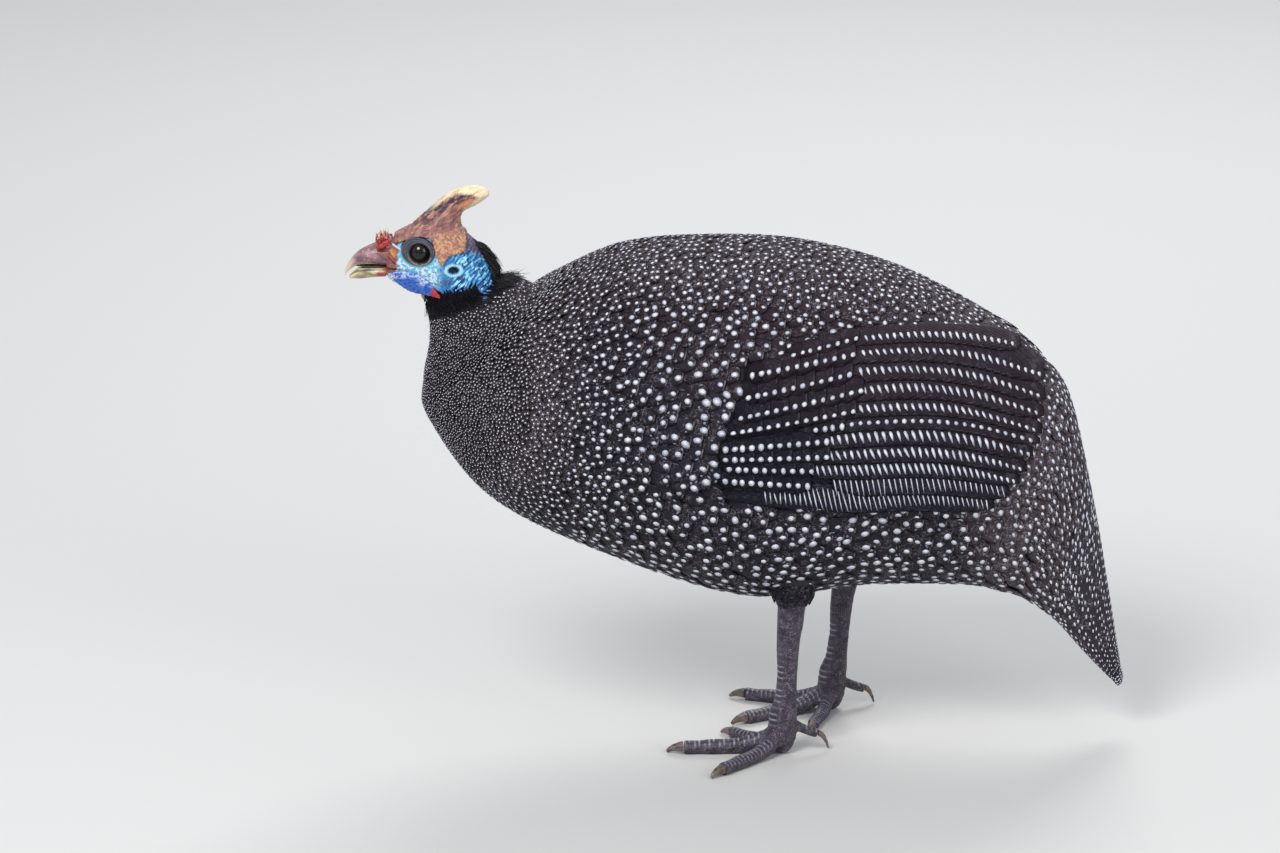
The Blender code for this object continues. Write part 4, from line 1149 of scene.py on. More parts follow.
        eye = np.hypot(x - EYE[0], (z - EYE[2]) * 1.06)
        almond = np.hypot((x - EYE[0] + 1.0) / 1.24, z - EYE[2] - 0.9)
        ear = np.hypot((x - EAR[0]) / 2.9, (z - EAR[1]) / 2.0)
        hind = smooth(x, -160.0, -152.0)
        lay(colour(104, 184, 220), smooth(x, -157.0, -166.0))
        # Painted highlight on the crests of the hind face's folds and painted shade in their troughs; the waves are the
        # relief's own folds.
        crest = np.sin(self.wave(x, z) * 2 * math.pi)
        broken = 0.6 + 0.4 * np.sin(x * 0.9 + z * 1.3) * np.sin(z * 0.8 - x * 0.5)
        lay(colour(122, 214, 246), smooth(crest, 0.45, 1.0) * hind * broken)
        lay(colour(8, 48, 108), smooth(crest, -0.3, -1.0) * hind * 0.8)
        lay(colour(20, 84, 176), smooth(z, 266.0, 258.0) * 0.45)
        lay(colour(60, 48, 60), np.exp(-(np.hypot((x + 158.0) / 3.4, (z - 262.6) / 2.0)) ** 2) * 0.65)
        nape = smooth(z + 0.55 * (x + 146), 277.0, 281.0) * smooth(x, -160.0, -154.0)
        lay(colour(88, 74, 104), nape)
        # Painted shade in the troughs of the nape's folds.
        lay(colour(38, 30, 44), nape * smooth(crest, 0.0, -0.9) * 0.8)
        lay(colour(92, 196, 214), smooth(np.abs(eye - 10.4), 1.2, 0.4) * smooth(x, -171.0, -166.0) * smooth(z, 290, 284) * 0.8)
        lore = smooth(x - (z - 270.0) * 0.12 + 0.5 * np.sin(z * 1.3), -184.8, -186.2) * smooth(z, 264.8, 266.6)
        lay(colour(140, 88, 84), lore)
        lay(colour(192, 122, 74), smooth(np.hypot((x + 188.6) / 3.0, (z - 277.2) / 2.6), 1.15, 0.7))
        fold = np.abs(z - 273.6 + (x + 188.5) * 0.72 + 0.5 * np.sin(x * 1.4))
        lay(colour(52, 24, 30), smooth(fold, 0.8, 0.3) * smooth(x, -183.6, -185.0))
        lay(colour(140, 56, 54), smooth(np.abs(fold - 1.5), 0.8, 0.2) * smooth(x, -183.8, -185.6) * 0.7)
        lay(colour(84, 44, 48), smooth(np.abs(z - 277.8 + (x + 190.0) * 1.1), 0.7, 0.2) * smooth(x, -185.5, -187.0) * 0.8)
        lay(colour(176, 214, 224), smooth(np.abs(z - 281.6 - (x + 187.0) * -0.45), 0.7, 0.3) * smooth(np.abs(x + 185.8), 3.4, 2.6))
        lay(colour(54, 54, 68), smooth(almond, 7.9, 7.3))
        # Painted highlight on the raised rings of the lids.
        rings = np.cos((almond - 5.7) * 2 * math.pi / 1.15)
        lay(colour(96, 96, 112), smooth(rings, 0.2, 1.0) * smooth(almond, 7.9, 7.3) * 0.75)
        lay(colour(10, 10, 16), smooth(np.abs(almond - 7.6), 0.55, 0.2) * smooth(z, EYE[2] + 1.0, EYE[2] + 4.0))
        # Painted shade in the sunken eye socket round the eyeball.
        lay(colour(24, 22, 30), smooth(eye, 6.2, 5.5))
        ring = smooth(np.abs(eye - 6.3), 0.5, 0.15) * smooth(z, EYE[2] - 1.0, EYE[2] - 3.5)
        lay(colour(176, 164, 116), ring * 0.85)
        lay(colour(176, 224, 230), smooth(np.abs(ear - 1.5), 0.5, 0.15) * 0.9)
        # Painted shade in the sunken ear hole.
        lay(colour(10, 12, 18), smooth(ear, 1.1, 0.75))
        # Painted shade in the sunken slit of the mouth at the gape.
        slit = np.exp(-((z - GAPE[1]) / 0.6) ** 2) * smooth(x, GAPE[0] + 0.8, GAPE[0] - 0.8)
        lay(colour(30, 14, 18), slit)
        lips = np.exp(-((np.abs(z - GAPE[1]) - 1.4) / 0.6) ** 2) * smooth(x, GAPE[0] + 1.2, GAPE[0] - 0.4)
        lay(colour(150, 70, 58), lips * 0.8)
        spots = np.zeros(len(x))
        for sx, sz, wide, tall in BLOTCHES:
            spots = np.maximum(spots, smooth(np.hypot((x - sx) / wide, (z - sz) / tall), 1.15, 0.9))
        frayed = bare + 0.9 * np.sin(x * 1.7) * np.sin(z * 1.9 + x * 0.4)
        lay(tuple(under), smooth(-frayed, -0.3, 0.7) * (1 - spots))
        lay(colour(24, 26, 40), smooth(np.abs(y), 5.0, 2.0) * smooth(z, 256.0, 252.0))
        self.tint = tint
        self.hind = hind * smooth(frayed, 0.3, 1.2) * (1 - nape) * smooth(ear, 1.5, 2.1)
        self.pale = smooth(x, -160.0, -166.0) * smooth(almond, 8.2, 9.6) * smooth(z, 258.0, 262.0) * (1 - lore)
        self.speckle = smooth(almond, 8.0, 9.4) * smooth(x, -152.0, -160.0) * smooth(bare, 0.0, 2.0) * (1 - lore) * 0.85


class HeadParts(Assembly):
    """The casque, the bill, the wattles and the eyes."""

    def build(self) -> None:
        """Makes the head's parts."""
        self.casque()
        for node in ("bill_upper", "bill_lower"):
            self.bill(node)
        # The mouth's lining, darkened as painted shade in the gap between the bill's halves.
        self.pebble("mouth", (-198.0, 0.0, 268.7), (11.0, 4.0, 0.9), 0.0, MOUTH_FINISH, "bare_skin")
        for side, sign in (("left", -1), ("right", 1)):
            self.wattle(side)
            self.eye(side)
            # A dark pebble of painted shade in the nostril's opening.
            self.pebble("nostril_" + side, (-193.2, 6.35 * sign, 279.9), (2.4, 1.0, 0.95), 0.45, NOSTRIL_SHADE_FINISH, "bill_horn")
            self.pebble("flap_" + side, (-192.4, 6.45 * sign, 282.0), (4.7, 1.45, 1.6), 0.54, FLAP_FINISH, "bare_skin")

    def casque(self) -> None:
        """Makes the casque's horn with its wrinkles, its ivory edge and its granular flap."""
        piece = self.copy_of("horn_casque", "casque")
        points = self.remeshed(piece, 0.0004, 5)
        normals = normals_of(piece)
        x, y, z = points.T / MM
        along, across = x * 0.68 + z * 0.73, z * 0.68 - x * 0.73
        wrinkle = np.sin(across * 3.1 + 1.5 * np.sin(along * 0.9)) * np.sin(along * 1.3 + 1.8 * np.sin(across * 1.1))
        wrinkle += 0.5 * np.sin(across * 5.3 + 2.2 * np.sin(along * 1.4)) * np.sin(along * 2.9 - across)
        flap = smooth(z, 290.0, 287.5) * smooth(x, -166.0, -164.4)
        rim = ((-172.5, 295.6), (-162.5, 305.8), (-153.7, 312.4), (-143.9, 313.2), (-135.6, 309.4), (-139.4, 303.6), (-146.0, 299.0))
        apart = np.full(x.shape, 1e9)
        for (ax, az), (bx, bz) in zip(rim, rim[1:]):
            share = np.clip(((x - ax) * (bx - ax) + (z - az) * (bz - az)) / ((bx - ax) ** 2 + (bz - az) ** 2), 0, 1)
            apart = np.minimum(apart, np.hypot(x - ax - share * (bx - ax), z - az - share * (bz - az)))
        wide = 1.0 + 2.7 * smooth(x, -168.0, -143.0)
        edge = smooth(apart + 0.35 * wrinkle, wide + 1.3, wide - 0.9) * smooth(x, -171.0, -161.0)
        line = 297.6 + (x + 172.2) * 0.52 + 0.8 * np.sin((x + 160) * 0.25)
        streak = smooth(np.abs(z - line + 0.8), 5.4, 2.0) * smooth(x, -175.0, -168.0) * smooth(x, -144.0, -149.5)
        fissure = smooth(np.abs(z - 304.1 - (x + 158.0) * 0.35), 0.7, 0.15) * smooth(x, -160.0, -156.0) * smooth(x, -137.4, -139.5)
        orange = smooth(np.hypot((x + 147.5) / 5.5, (z - 304.2 - (x + 147.5) * 0.4) / 2.2), 1.2, 0.6)
        relief = 0.22 * wrinkle * (1 - 0.9 * edge) * (1 - 0.6 * flap) - 0.45 * fissure
        relief += 0.22 * flap * np.sin(x * 3.3 + np.sin(z * 2)) * np.sin(z * 3.1)
        relief += 0.25
        streak = np.maximum(streak, fissure * 1.2)
        self.paint(piece, "orange", orange)
        move_points(piece, points + normals * relief[:, None] * MM)
        self.paint(piece, "edge", edge)
        self.paint(piece, "streak", streak)
        self.paint(piece, "flap", flap)
        self.declare(piece, Look.CASQUE, "casque_horn", "casque")

    def bill(self, node: str) -> None:
        """Args:
            node: the half of the bill that is made.
        """
        piece = self.copy_of("horn_" + node, node)
        points = self.remeshed(piece, 0.00035, 3)
        x, y, z = points.T / MM
        upper = node == "bill_upper"
        stops = np.linspace(x.min() + 0.4, x.max() - 0.4, 24)
        bins = [(np.abs(x - stop) < 0.9) for stop in stops]
        top = np.interp(x, stops, [z[near].max() for near in bins])
        low = np.interp(x, stops, [z[near].min() for near in bins])
        share = np.clip((z - low) / np.maximum(top - low, 0.2), 0, 1)
        if upper:
            goal = np.interp(x, (-214.2, -211.5, -207.4, -203.0, -197.6, -191.5), (262.4, 265.6, 268.7, 269.3, 269.3, 268.6))
            goal = np.minimum(goal, top - 0.6)
            z = goal + (top - goal) * share
        else:
            ceiling = np.interp(x, (-212.5, -210.0, -207.4, -200.3, -191.5), (262.6, 265.6, 267.6, 268.5, 268.4))
            floor = np.interp(x, (-212.5, -206.0, -197.8, -191.0), (261.3, 260.9, 262.0, 262.6))
            z = floor + (ceiling - floor) * share
        back = smooth(x, -193.2, -191.2)
        x = x + 3.2 * back
        y = y * (1 - 0.04 * back)
        move_points(piece, np.stack((x, y, z), axis=1) * MM)
        tip = smooth(x, -206.5, -213.0)
        tomium = smooth(share, 0.22, 0.06) if upper else smooth(share, 0.80, 0.94)
        tomium = tomium * smooth(x, -196.0, -201.0)
        above = (z - 277.5 + 0.77 * (x + 197.0)) / 1.26
        if upper:
            rear = smooth(above, -0.6, 0.9) * smooth(x, -200.5, -197.0) * smooth(z, 284.0, 281.5)
            line = smooth(np.abs(above), 0.9, 0.2) * smooth(x, -199.5, -196.5) * 0.7
            spot = x * 0
        else:
            rear = smooth(x, -195.0, -191.0) * 0.5
            line = smooth(np.abs(share - 0.74), 0.10, 0.03) * smooth(x, -196.0, -200.0)
            spot = smooth(np.hypot((x + 193.8) / 3.8, (z - 264.9) / 2.1), 1.15, 0.6)
        self.paint(piece, "rear", rear)
        self.paint(piece, "tip", np.maximum(tip * 0.8, tomium * 0.75))
        self.paint(piece, "low", np.full(len(x), 0.0) + (smooth(share, 0.34, 0.16) * smooth(x, -199.0, -206.0) if upper else 1.0))
        self.paint(piece, "line", line * 0.8)
        self.paint(piece, "red", np.maximum(spot, smooth(x, -195.5, -192.0) * smooth(z, 271.0, 269.0) * 0.7))
        self.declare(piece, Look.BILL, "bill_horn", node)

    def pebble(self, name: str, centre: tuple[float, float, float], radii: tuple[float, float, float], turn: float,
               look: "PlainFinish", slot: str) -> None:
        """Makes a small rounded form: the mouth's darkened lining, a dark pebble of painted shade in a nostril, or a
        nostril's flap.

        Args:
            name: the piece's name.
            centre, radii: its middle and half sizes, in millimetres.
            turn: how far it is turned in the side view, in radians.
            look: its finish.
            slot: handed on to declare().
        """
        shape = bmesh.new()
        bmesh.ops.create_icosphere(shape, subdivisions=4, radius=1.0)
        for vert in shape.verts:
            x, y, z = vert.co.x * radii[0], vert.co.y * radii[1], vert.co.z * radii[2]
            z += 0.10 * radii[2] * math.sin(vert.co.x * 7.0)
            turned = (x * math.cos(turn) - z * math.sin(turn), y, x * math.sin(turn) + z * math.cos(turn))
            vert.co = Vector(part + middle for part, middle in zip(turned, centre)) * MM
        mesh = bpy.data.meshes.new(name)
        shape.to_mesh(mesh)
        shape.free()
        mesh.polygons.foreach_set("use_smooth", np.ones(len(mesh.polygons), dtype=bool))
        piece = bpy.data.objects.new(name, mesh)
        bpy.context.scene.collection.objects.link(piece)
        self.declare(piece, look, slot)

    def wattle(self, side: str) -> None:
        """Args:
            side: left or right.
        """
        piece = self.copy_of("skin_wattle_" + side, "wattle_" + side)
        points = self.remeshed(piece, 0.00035, 4)
        normals = normals_of(piece)
        x, y, z = points.T / MM
        folds = 0.16 * np.sin(x * 2.4 + z * 1.2) * np.sin(z * 2.6 + 0.7 * np.sin(x))
        move_points(piece, points + normals * folds[:, None] * MM)
        self.paint(piece, "red", smooth(x - (z - 258.0) * 0.35, -167.2, -165.4))
        pale = np.maximum(smooth(x, -176.0, -172.0) * smooth(z, 259.0, 261.5), smooth(z - (x + 186.0) * 0.15, 262.5, 265.0) * 0.9)
        self.paint(piece, "pale", pale)
        self.declare(piece, Look.WATTLE, "bare_skin", "wattle_" + side)

    def eye(self, side: str) -> None:
        """Args:
            side: left or right.
        """
        shape = bmesh.new()
        bmesh.ops.create_uvsphere(shape, u_segments=48, v_segments=32, radius=EYE_RADIUS * MM)
        centre = Vector(EYE) * MM
        if side == "left":
            centre.y *= -1
        bmesh.ops.translate(shape, verts=shape.verts, vec=centre)
        mesh = bpy.data.meshes.new("eye_ball_" + side)
        shape.to_mesh(mesh)
        shape.free()
        mesh.polygons.foreach_set("use_smooth", np.ones(len(mesh.polygons), dtype=bool))
        piece = bpy.data.objects.new("eye_ball_" + side, mesh)
        bpy.context.scene.collection.objects.link(piece)
        x, _, z = points_of(piece).T / MM
        reach = np.hypot(x - EYE[0], z - EYE[2])
        self.paint(piece, "iris", smooth(reach, 3.0, 3.5) * smooth(reach, 5.4, 4.8))
        kit = Shader("eye_" + side)
        base = kit.mix(colour(5, 4, 6), colour(34, 20, 16), kit.attribute("iris", "Fac"))
        piece.data.materials.append(kit.finish(base, 0.09, coat=0.35, specular=0.3))
        self.declare(piece, None, "eye", "eye_" + side)


FEATHER = FeatherFinish("feathers", 1.0, 1.0)
WING_WEB = FeatherFinish("wing_feathers", 0.5)
HAIR_FINISH = PlainFinish("hair", colour(9, 8, 12), colour(22, 19, 26), 90.0, 0.5)
DOT_FINISH = PlainFinish("dots", colour(226, 226, 232), colour(186, 190, 206), 240.0, 0.6)
FLECK_FINISH = PlainFinish("flecks", colour(140, 142, 160), colour(92, 94, 112), 400.0, 0.65)
CLAW_FINISH = PlainFinish("claws", colour(112, 98, 86), colour(74, 64, 60), 300.0, 0.4)


class Coat(Assembly):
    """The small feathers of neck, breast, body and rump, each with its pale dot."""

    TRIES = 60000

    def build(self, body: BodyForm) -> None:
        """Args:
            body: the body's form.
        """
        self.body = body
        self.form = CoatForm(body)
        self.random = np.random.default_rng(SEED)
        u, angle, pitch = self.scatter()
        small, wide = pitch < 2.5, pitch >= 4.2
        parts = (("neck", small), ("breast", ~small & ~wide), ("back", wide & (angle < 1.3)), ("belly", wide & (angle >= 1.3)))
        for name, chosen in parts:
            self.lay(name, u[chosen], angle[chosen], pitch[chosen])

    @staticmethod
    def pitch(x: np.ndarray, z: np.ndarray, angle: np.ndarray) -> np.ndarray:
        """How far apart the dots stand.

        Args:
            x, z: places in the side view, in millimetres.
            angle: the angles round the body.
        Returns:
            The distances in millimetres.
        """
        reach = np.hypot(x + 163, (z - 212) * 0.85)
        wide = 1.7 + 5.5 * smooth(reach, 22, 150)
        ridge = smooth(angle, 1.35, 0.35) * smooth(x, -130, -60)
        wide = wide * (1 - 0.44 * ridge)
        rump = smooth(x + (z - 180) * 0.25, 118, 160)
        return wide * (1 - rump) + 4.6 * rump - 0.8 * smooth(z, 90, 40) * rump

    def scatter(self) -> tuple[np.ndarray, np.ndarray, np.ndarray]:
        """Spreads the dots evenly over one side of the body.

        Returns:
            Their rows, angles and distances.
        """
        u_edge, a_edge = np.linspace(5.0, 22.4, 175), np.linspace(0.0, math.pi, 61)
        u, angle = np.meshgrid((u_edge[1:] + u_edge[:-1]) / 2, (a_edge[1:] + a_edge[:-1]) / 2, indexing="ij")
        along = np.linalg.norm(self.body.ring(u + 0.05, angle) - self.body.ring(u - 0.05, angle), axis=-1)
        across = np.linalg.norm(self.body.ring(u, angle + 0.02) - self.body.ring(u, angle - 0.02), axis=-1)
        middle = self.body.ring(u, angle) / MM
        share = along * across / self.pitch(middle[..., 0], middle[..., 2], angle) ** 2
        cell = self.random.choice(u.size, self.TRIES, p=(share / share.sum()).ravel())
        u = u.ravel()[cell] + self.random.uniform(-0.5, 0.5, self.TRIES) * (u_edge[1] - u_edge[0])
        angle = angle.ravel()[cell] + self.random.uniform(-0.5, 0.5, self.TRIES) * (a_edge[1] - a_edge[0])
        place = self.body.ring(u, angle) / MM
        pitch = self.pitch(place[:, 0], place[:, 2], angle)
        free = inside_by(BARE_SKIN, place[:, 0], place[:, 2]) < -0.6
        for x, z, wide, tall in BLOTCHES:
            free &= np.hypot((place[:, 0] - x) / wide, (place[:, 2] - z) / tall) > 1.3
        free &= ~self.in_rows(place[:, 0], place[:, 2], angle) & (np.abs(place[:, 1]) > 0.3 * pitch)
        chosen = []
        stock = np.zeros((self.TRIES, 3))
        count = 0
        for k in np.flatnonzero(free):
            gap = stock[:count] - place[k]
            if count and (np.einsum("ij,ij->i", gap, gap) < (0.83 * pitch[k]) ** 2).any():
                continue
            stock[count] = place[k]
            count += 1
            chosen.append(k)
        return u[chosen], angle[chosen], pitch[chosen]

    @staticmethod
    def in_rows(x: np.ndarray, z: np.ndarray, angle: np.ndarray) -> np.ndarray:
        """Args:
            x, z: places in the side view, in millimetres.
            angle: the angles round the body.
        Returns:
            Where the wing's rows of feathers lie instead.
        """
        form = RowForm(None, 1)
        covered = np.zeros(x.shape, dtype=bool)
        for row, (_, _, _, first, last) in enumerate(WING_ROWS):
            over = z - form.heights(x, np.full(x.shape, float(row)))
            covered |= (x > first - 3) & (x < last - 6) & (over > -4.1) & (over < (7.1 if row else 2.8))
        return covered & (angle > 0.35) & (angle < 2.8)

    def lay(self, name: str, u: np.ndarray, angle: np.ndarray, pitch: np.ndarray) -> None:
        """Args:
            name: the piece's name.
            u, angle: where the dots are on the left side.
            pitch: how far apart they stand, in millimetres.
        """
        u, pitch = np.tile(u, 2), np.tile(pitch, 2)
        angle = np.concatenate((angle, -angle))
        along = np.linalg.norm(self.body.ring(u + 0.05, angle) - self.body.ring(u - 0.05, angle), axis=-1) / 0.1
        across = np.linalg.norm(self.body.ring(u, angle + 0.02) - self.body.ring(u, angle - 0.02), axis=-1) / 0.04
        place = self.body.ring(u, angle) / MM
        dark = smooth(u, 9.3, 8.6) * smooth(place[:, 2], 232, 242)
        long = np.minimum(2.7 * pitch * (1 + 0.5 * dark) * MM / along, 1.5)
        u = u + self.random.normal(0, 0.10, len(u)) * pitch * MM / along
        swing = self.random.normal(0, 0.10, len(u)) * pitch * MM / across
        root = np.stack((np.maximum(u - 0.84 * long, 0.5), angle - 0.84 * swing), axis=1)
        way = np.stack((long, swing), axis=1)
        half = np.stack((np.zeros(len(u)), (0.92 - 0.45 * dark) * pitch * MM / across), axis=1)
        depth = np.minimum(0.0011 + 0.0016 * smooth(u, 9.0, 12.5), catmull(self.body.rows, u)[:, 4] * 0.5)
        net = 0.45 + 0.55 * np.maximum(smooth(pitch, 4.8, 2.5), smooth(place[:, 0] + (place[:, 2] - 180) * 0.2, 100, 150))
        net = np.maximum(net, 0.8 * smooth(np.abs(angle), 1.1, 0.5))
        net = net * (1 - dark)
        vanes = Vanes(self.form, root, way, half, -depth - 0.0002, np.full(len(u), 0.0001), arch=0.0003,
                      thick=0.0002, net=net, home=unit_square(root))
        vanes.measure()
        fine = name == "neck"
        shares = (0, 0.45, 0.75, 0.92, 1.0) if fine else (0, 0.35, 0.62, 0.82, 0.94, 1.0)
        blade = Template.lens(shares, 3 if fine else 5, vane_outline).flipped()
        self.declare(vanes.build("coat_" + name, blade), FEATHER, "plumage")
        who = np.flatnonzero(dark < 0.5)
        share = 0.20 + 0.06 * smooth(pitch[who, None], 2.3, 6.0)
        radius = share * pitch[who, None] * MM * self.random.uniform(0.74, 1.14, (len(who), 1))
        ratio = (0.78, 1.65) if fine else (1.14, 0.92)
        size = radius * np.array((ratio,)) * self.random.uniform(0.88, 1.12, (len(who), 2))
        t, turn = np.full(len(who), 0.84), self.random.normal(0, 0.5, len(who))
        spots = vanes.spots("spots_" + name, Template.dot(6 if fine else 9).flipped(), who, t, t * 0, size, turn)
        self.declare(spots, DOT_FINISH, "plumage")
        if not fine:
            some = who[self.random.random(len(who)) < 0.75]
            t = self.random.uniform(0.66, 0.9, len(some))
            s = self.random.choice((-1, 1), len(some)) * self.random.uniform(0.45, 0.62, len(some))
            size = 0.10 * pitch[some, None] * MM * np.array(((1.5, 0.9),)) * self.random.uniform(0.7, 1.3, (len(some), 2))
            turn = self.random.normal(0, 0.9, len(some))
            small = vanes.spots("flecks_" + name, Template.dot(6).flipped(), some, t, s, size, turn)
            self.declare(small, FLECK_FINISH, "plumage")


class Wing(Assembly):
    """One folded wing: its shell, coverts and long feathers, with their dots and bars."""

    def build(self, body: BodyForm, side: int) -> None:
        """Args:
            body: the body's form.
            side: -1 for the left wing, 1 for the right.
        """
        self.side = side
        self.flank = FlankForm(body, side)
        self.form = RowForm(body, side)
        self.name = "left" if side < 0 else "right"
        self.random = np.random.default_rng(SEED + side + 5)
        self.shell()
        self.flights()
        self.coverts()

    def shell(self) -> None:
        """Makes the closed body of the wing that its feathers lie on."""
        template = Template.lens(np.linspace(0, 1, 60), 32, lambda t: np.ones_like(t))
        fine = catmull(np.array(WING, dtype=float), np.linspace(0, len(WING) - 1, 120))
        x = -73 + 236 * template.along
        top, low = np.interp(x, fine[:, 0], fine[:, 1]), np.interp(x, fine[:, 0], fine[:, 2])
        z = (top + low) / 2 - (top - low) / 2 * template.across
        out = np.where(template.upper == 1, -0.5, np.where(template.upper == 0, -5.0, -3.4))
        points = self.flank.points(x * MM, z * MM, out * MM)
        place = np.stack((template.along, (template.across + 1) / 2), axis=1) * 0.98 + 0.01
        piece = mesh_piece("coat_wing_shell_" + self.name, points, self.turned(template).faces, place, place)
        self.paint(piece, "net", np.zeros(len(points)))
        self.declare(piece, WING_WEB, "plumage", "wing_" + self.name)

    def turned(self, template: Template) -> Template:
        """Args:
            template: a blade or a spot.
        Returns:
            The same with its faces outwards on this side.
        """
        return template.flipped() if self.side < 0 else template

    def feathers(self, name: str, root: np.ndarray, way: np.ndarray, half: np.ndarray, low: np.ndarray,
                 high: np.ndarray, tilt: float, blade: Template) -> Vanes:
        """Makes feathers along the wing's rows.

        Args:
            name: the piece's name.
            root, way: where they start and how far they reach, in millimetres and rows.
            half: their half widths, in rows.
            low, high: their heights over the wing at root and tip, in millimetres.
            tilt: how much the lower edge stands out, in millimetres.
            blade: the feather's shape.
        Returns:
            The feathers.
        """
        scale = np.array((MM, 1.0))
        wide = np.stack((np.zeros(len(root)), half), axis=1)
        vanes = Vanes(self.form, root * scale, way * scale, wide, low * MM, high * MM, arch=0.0003, thick=0.0004,
                      tilt=tilt * MM, net=0.22, home=unit_square(root))
        vanes.measure()
        piece = vanes.build(name + "_" + self.name, self.turned(blade))
        self.declare(piece, WING_WEB, "plumage")
        return vanes

    def pale(self, vanes: Vanes, name: str, who: np.ndarray, t: np.ndarray, s: np.ndarray, size: np.ndarray,
             turn: np.ndarray, taper: float = 0.0) -> None:
        """Args:
            vanes: the feathers.
            name: the piece's name.
            who, t, s: where the marks are.
            size: half their length and width, in millimetres.
            turn: how far they are turned.
            taper: how much they narrow downwards.
        """
        shape = self.turned(Template.dot(10).tapered(taper))
        size = size * MM * self.random.uniform(0.86, 1.14, (len(who), 2))
        turn = turn + self.random.normal(0, 0.06, len(who))
        piece = vanes.spots(name + "_" + self.name, shape, who, t, s, size, turn)
        self.declare(piece, DOT_FINISH, "plumage")

    def flights(self) -> None:
        """Makes the long feathers with their combs of slanted bars, their dots and their long lines."""
        rows = np.array(WING_ROWS)
        number = np.arange(len(rows), dtype=float)
        first = 40.0 - 2.0 * number
        first[-2:] = 50.0, -8.0
        top = number == 0
        root = np.stack((first, number - 0.28 + 0.36 * top), axis=1)
        way = np.stack((rows[:, 4] + 4 - first, np.zeros(len(rows))), axis=1)
        low = 0.9 - 0.05 * number
        vanes = self.feathers("coat_flights", root, way, 0.86 - 0.34 * top, low * 0.4, low, 0.75,
                              Template.lens(np.concatenate((np.linspace(0, 0.9, 22), (0.94, 0.97, 1.0))), 7, blade_outline))
        kinds = {"bars": ([], [], [], []), "dots": ([], [], [], []), "lines": ([], [], [], [])}
        starts = np.append(self.ends(number[:-1]) - 4.0, 14.0)
        pitches = np.interp(number, (6, 10), (4.15, 2.7))
        for k in range(len(rows)):
            kind = "dots" if k == 5 else "lines" if k >= len(rows) - 2 else "bars"
            pitch = 4.9 if kind == "dots" else pitches[k]
            count = int(vanes.reach[k] / (pitch * MM))
            t = (np.arange(count) + 0.5) * pitch * MM / vanes.reach[k]
            x = first[k] + t * way[k, 0]
            t = t[(x > starts[k]) & (t < 0.985)]
            kinds[kind][0].extend([k] * len(t))
            kinds[kind][1].extend(t)
            end = smooth(t, 0.97, 0.70)
            if kind == "bars":
                long = (2.3 + 0.12 * k) * (0.45 + 0.55 * end)
                broad = 0.2 * pitch + 0.1 * (1 - end)
                kinds[kind][2].extend(np.stack((broad, long), axis=1))
            elif kind == "dots":
                kinds[kind][2].extend(np.tile((1.25, 1.25), (len(t), 1)))
            else:
                kinds[kind][2].extend(np.stack((np.full(len(t), 0.34), 3.6 + 3.8 * smooth(t, 0.85, 0.35)), axis=1))
            kinds[kind][3].extend(np.full(len(t), -0.34 if kind != "lines" else -0.22))
        for name, (who, t, size, turn) in kinds.items():
            who, t, size, turn = (np.array(part) for part in (who, t, size, turn))
            s = np.full(len(who), 0.30 if name != "lines" else 0.1)
            self.pale(vanes, "spots_" + name, who, t, s, size, turn, 0.45 if name == "bars" else 0.0)

    @staticmethod
    def ends(row: np.ndarray) -> np.ndarray:
        """Args:
            row: the rows' numbers.
        Returns:
            Where their round dots end and their bars begin, in millimetres.
        """
        return np.interp(row, (0, 5, 7, 9), (70.0, 61.0, 46.0, 36.0))

    def coverts(self) -> None:
        """Makes the rows of coverts, each row with its line of round dots."""
        root, way = [], []
        step, length = 10.0, 21.0
        for row, (_, _, _, first, _) in enumerate(WING_ROWS[:-1]):
            for x in np.arange(first + 4, self.ends(row) + 0.1, step):
                reach = min(length, x - first + 6)
                root.append((x - reach + 3, row - (0.25 if row else -0.05)))
                way.append((reach, 0.0))
        root, way = np.array(root), np.array(way)
        count = len(root)
        high = 1.75 - 0.04 * root[:, 1]
        half = 0.80 - 0.25 * (root[:, 1] < 0.5)
        vanes = self.feathers("coat_coverts", root, way, half, np.full(count, 0.1), high, 0.5,
                              Template.lens((0, 0.35, 0.62, 0.82, 0.94, 1.0), 5, vane_outline))
        who = np.tile(np.arange(count), 2)
        t = np.concatenate((np.full(count, 0.90), 0.90 - 0.5 * step / way[:, 0]))
        near = smooth(root[who, 0], -25, 20)[:, None]
        size = (1 - near) * np.array(((1.65, 1.45),)) + near * np.array(((1.35, 1.35),))
        size[:, 1] *= 1 + 0.25 * (self.random.random(len(who)) < 0.3)
        self.pale(vanes, "spots_coverts", who, t, np.full(len(who), 0.34), size, np.full(len(who), -0.1))


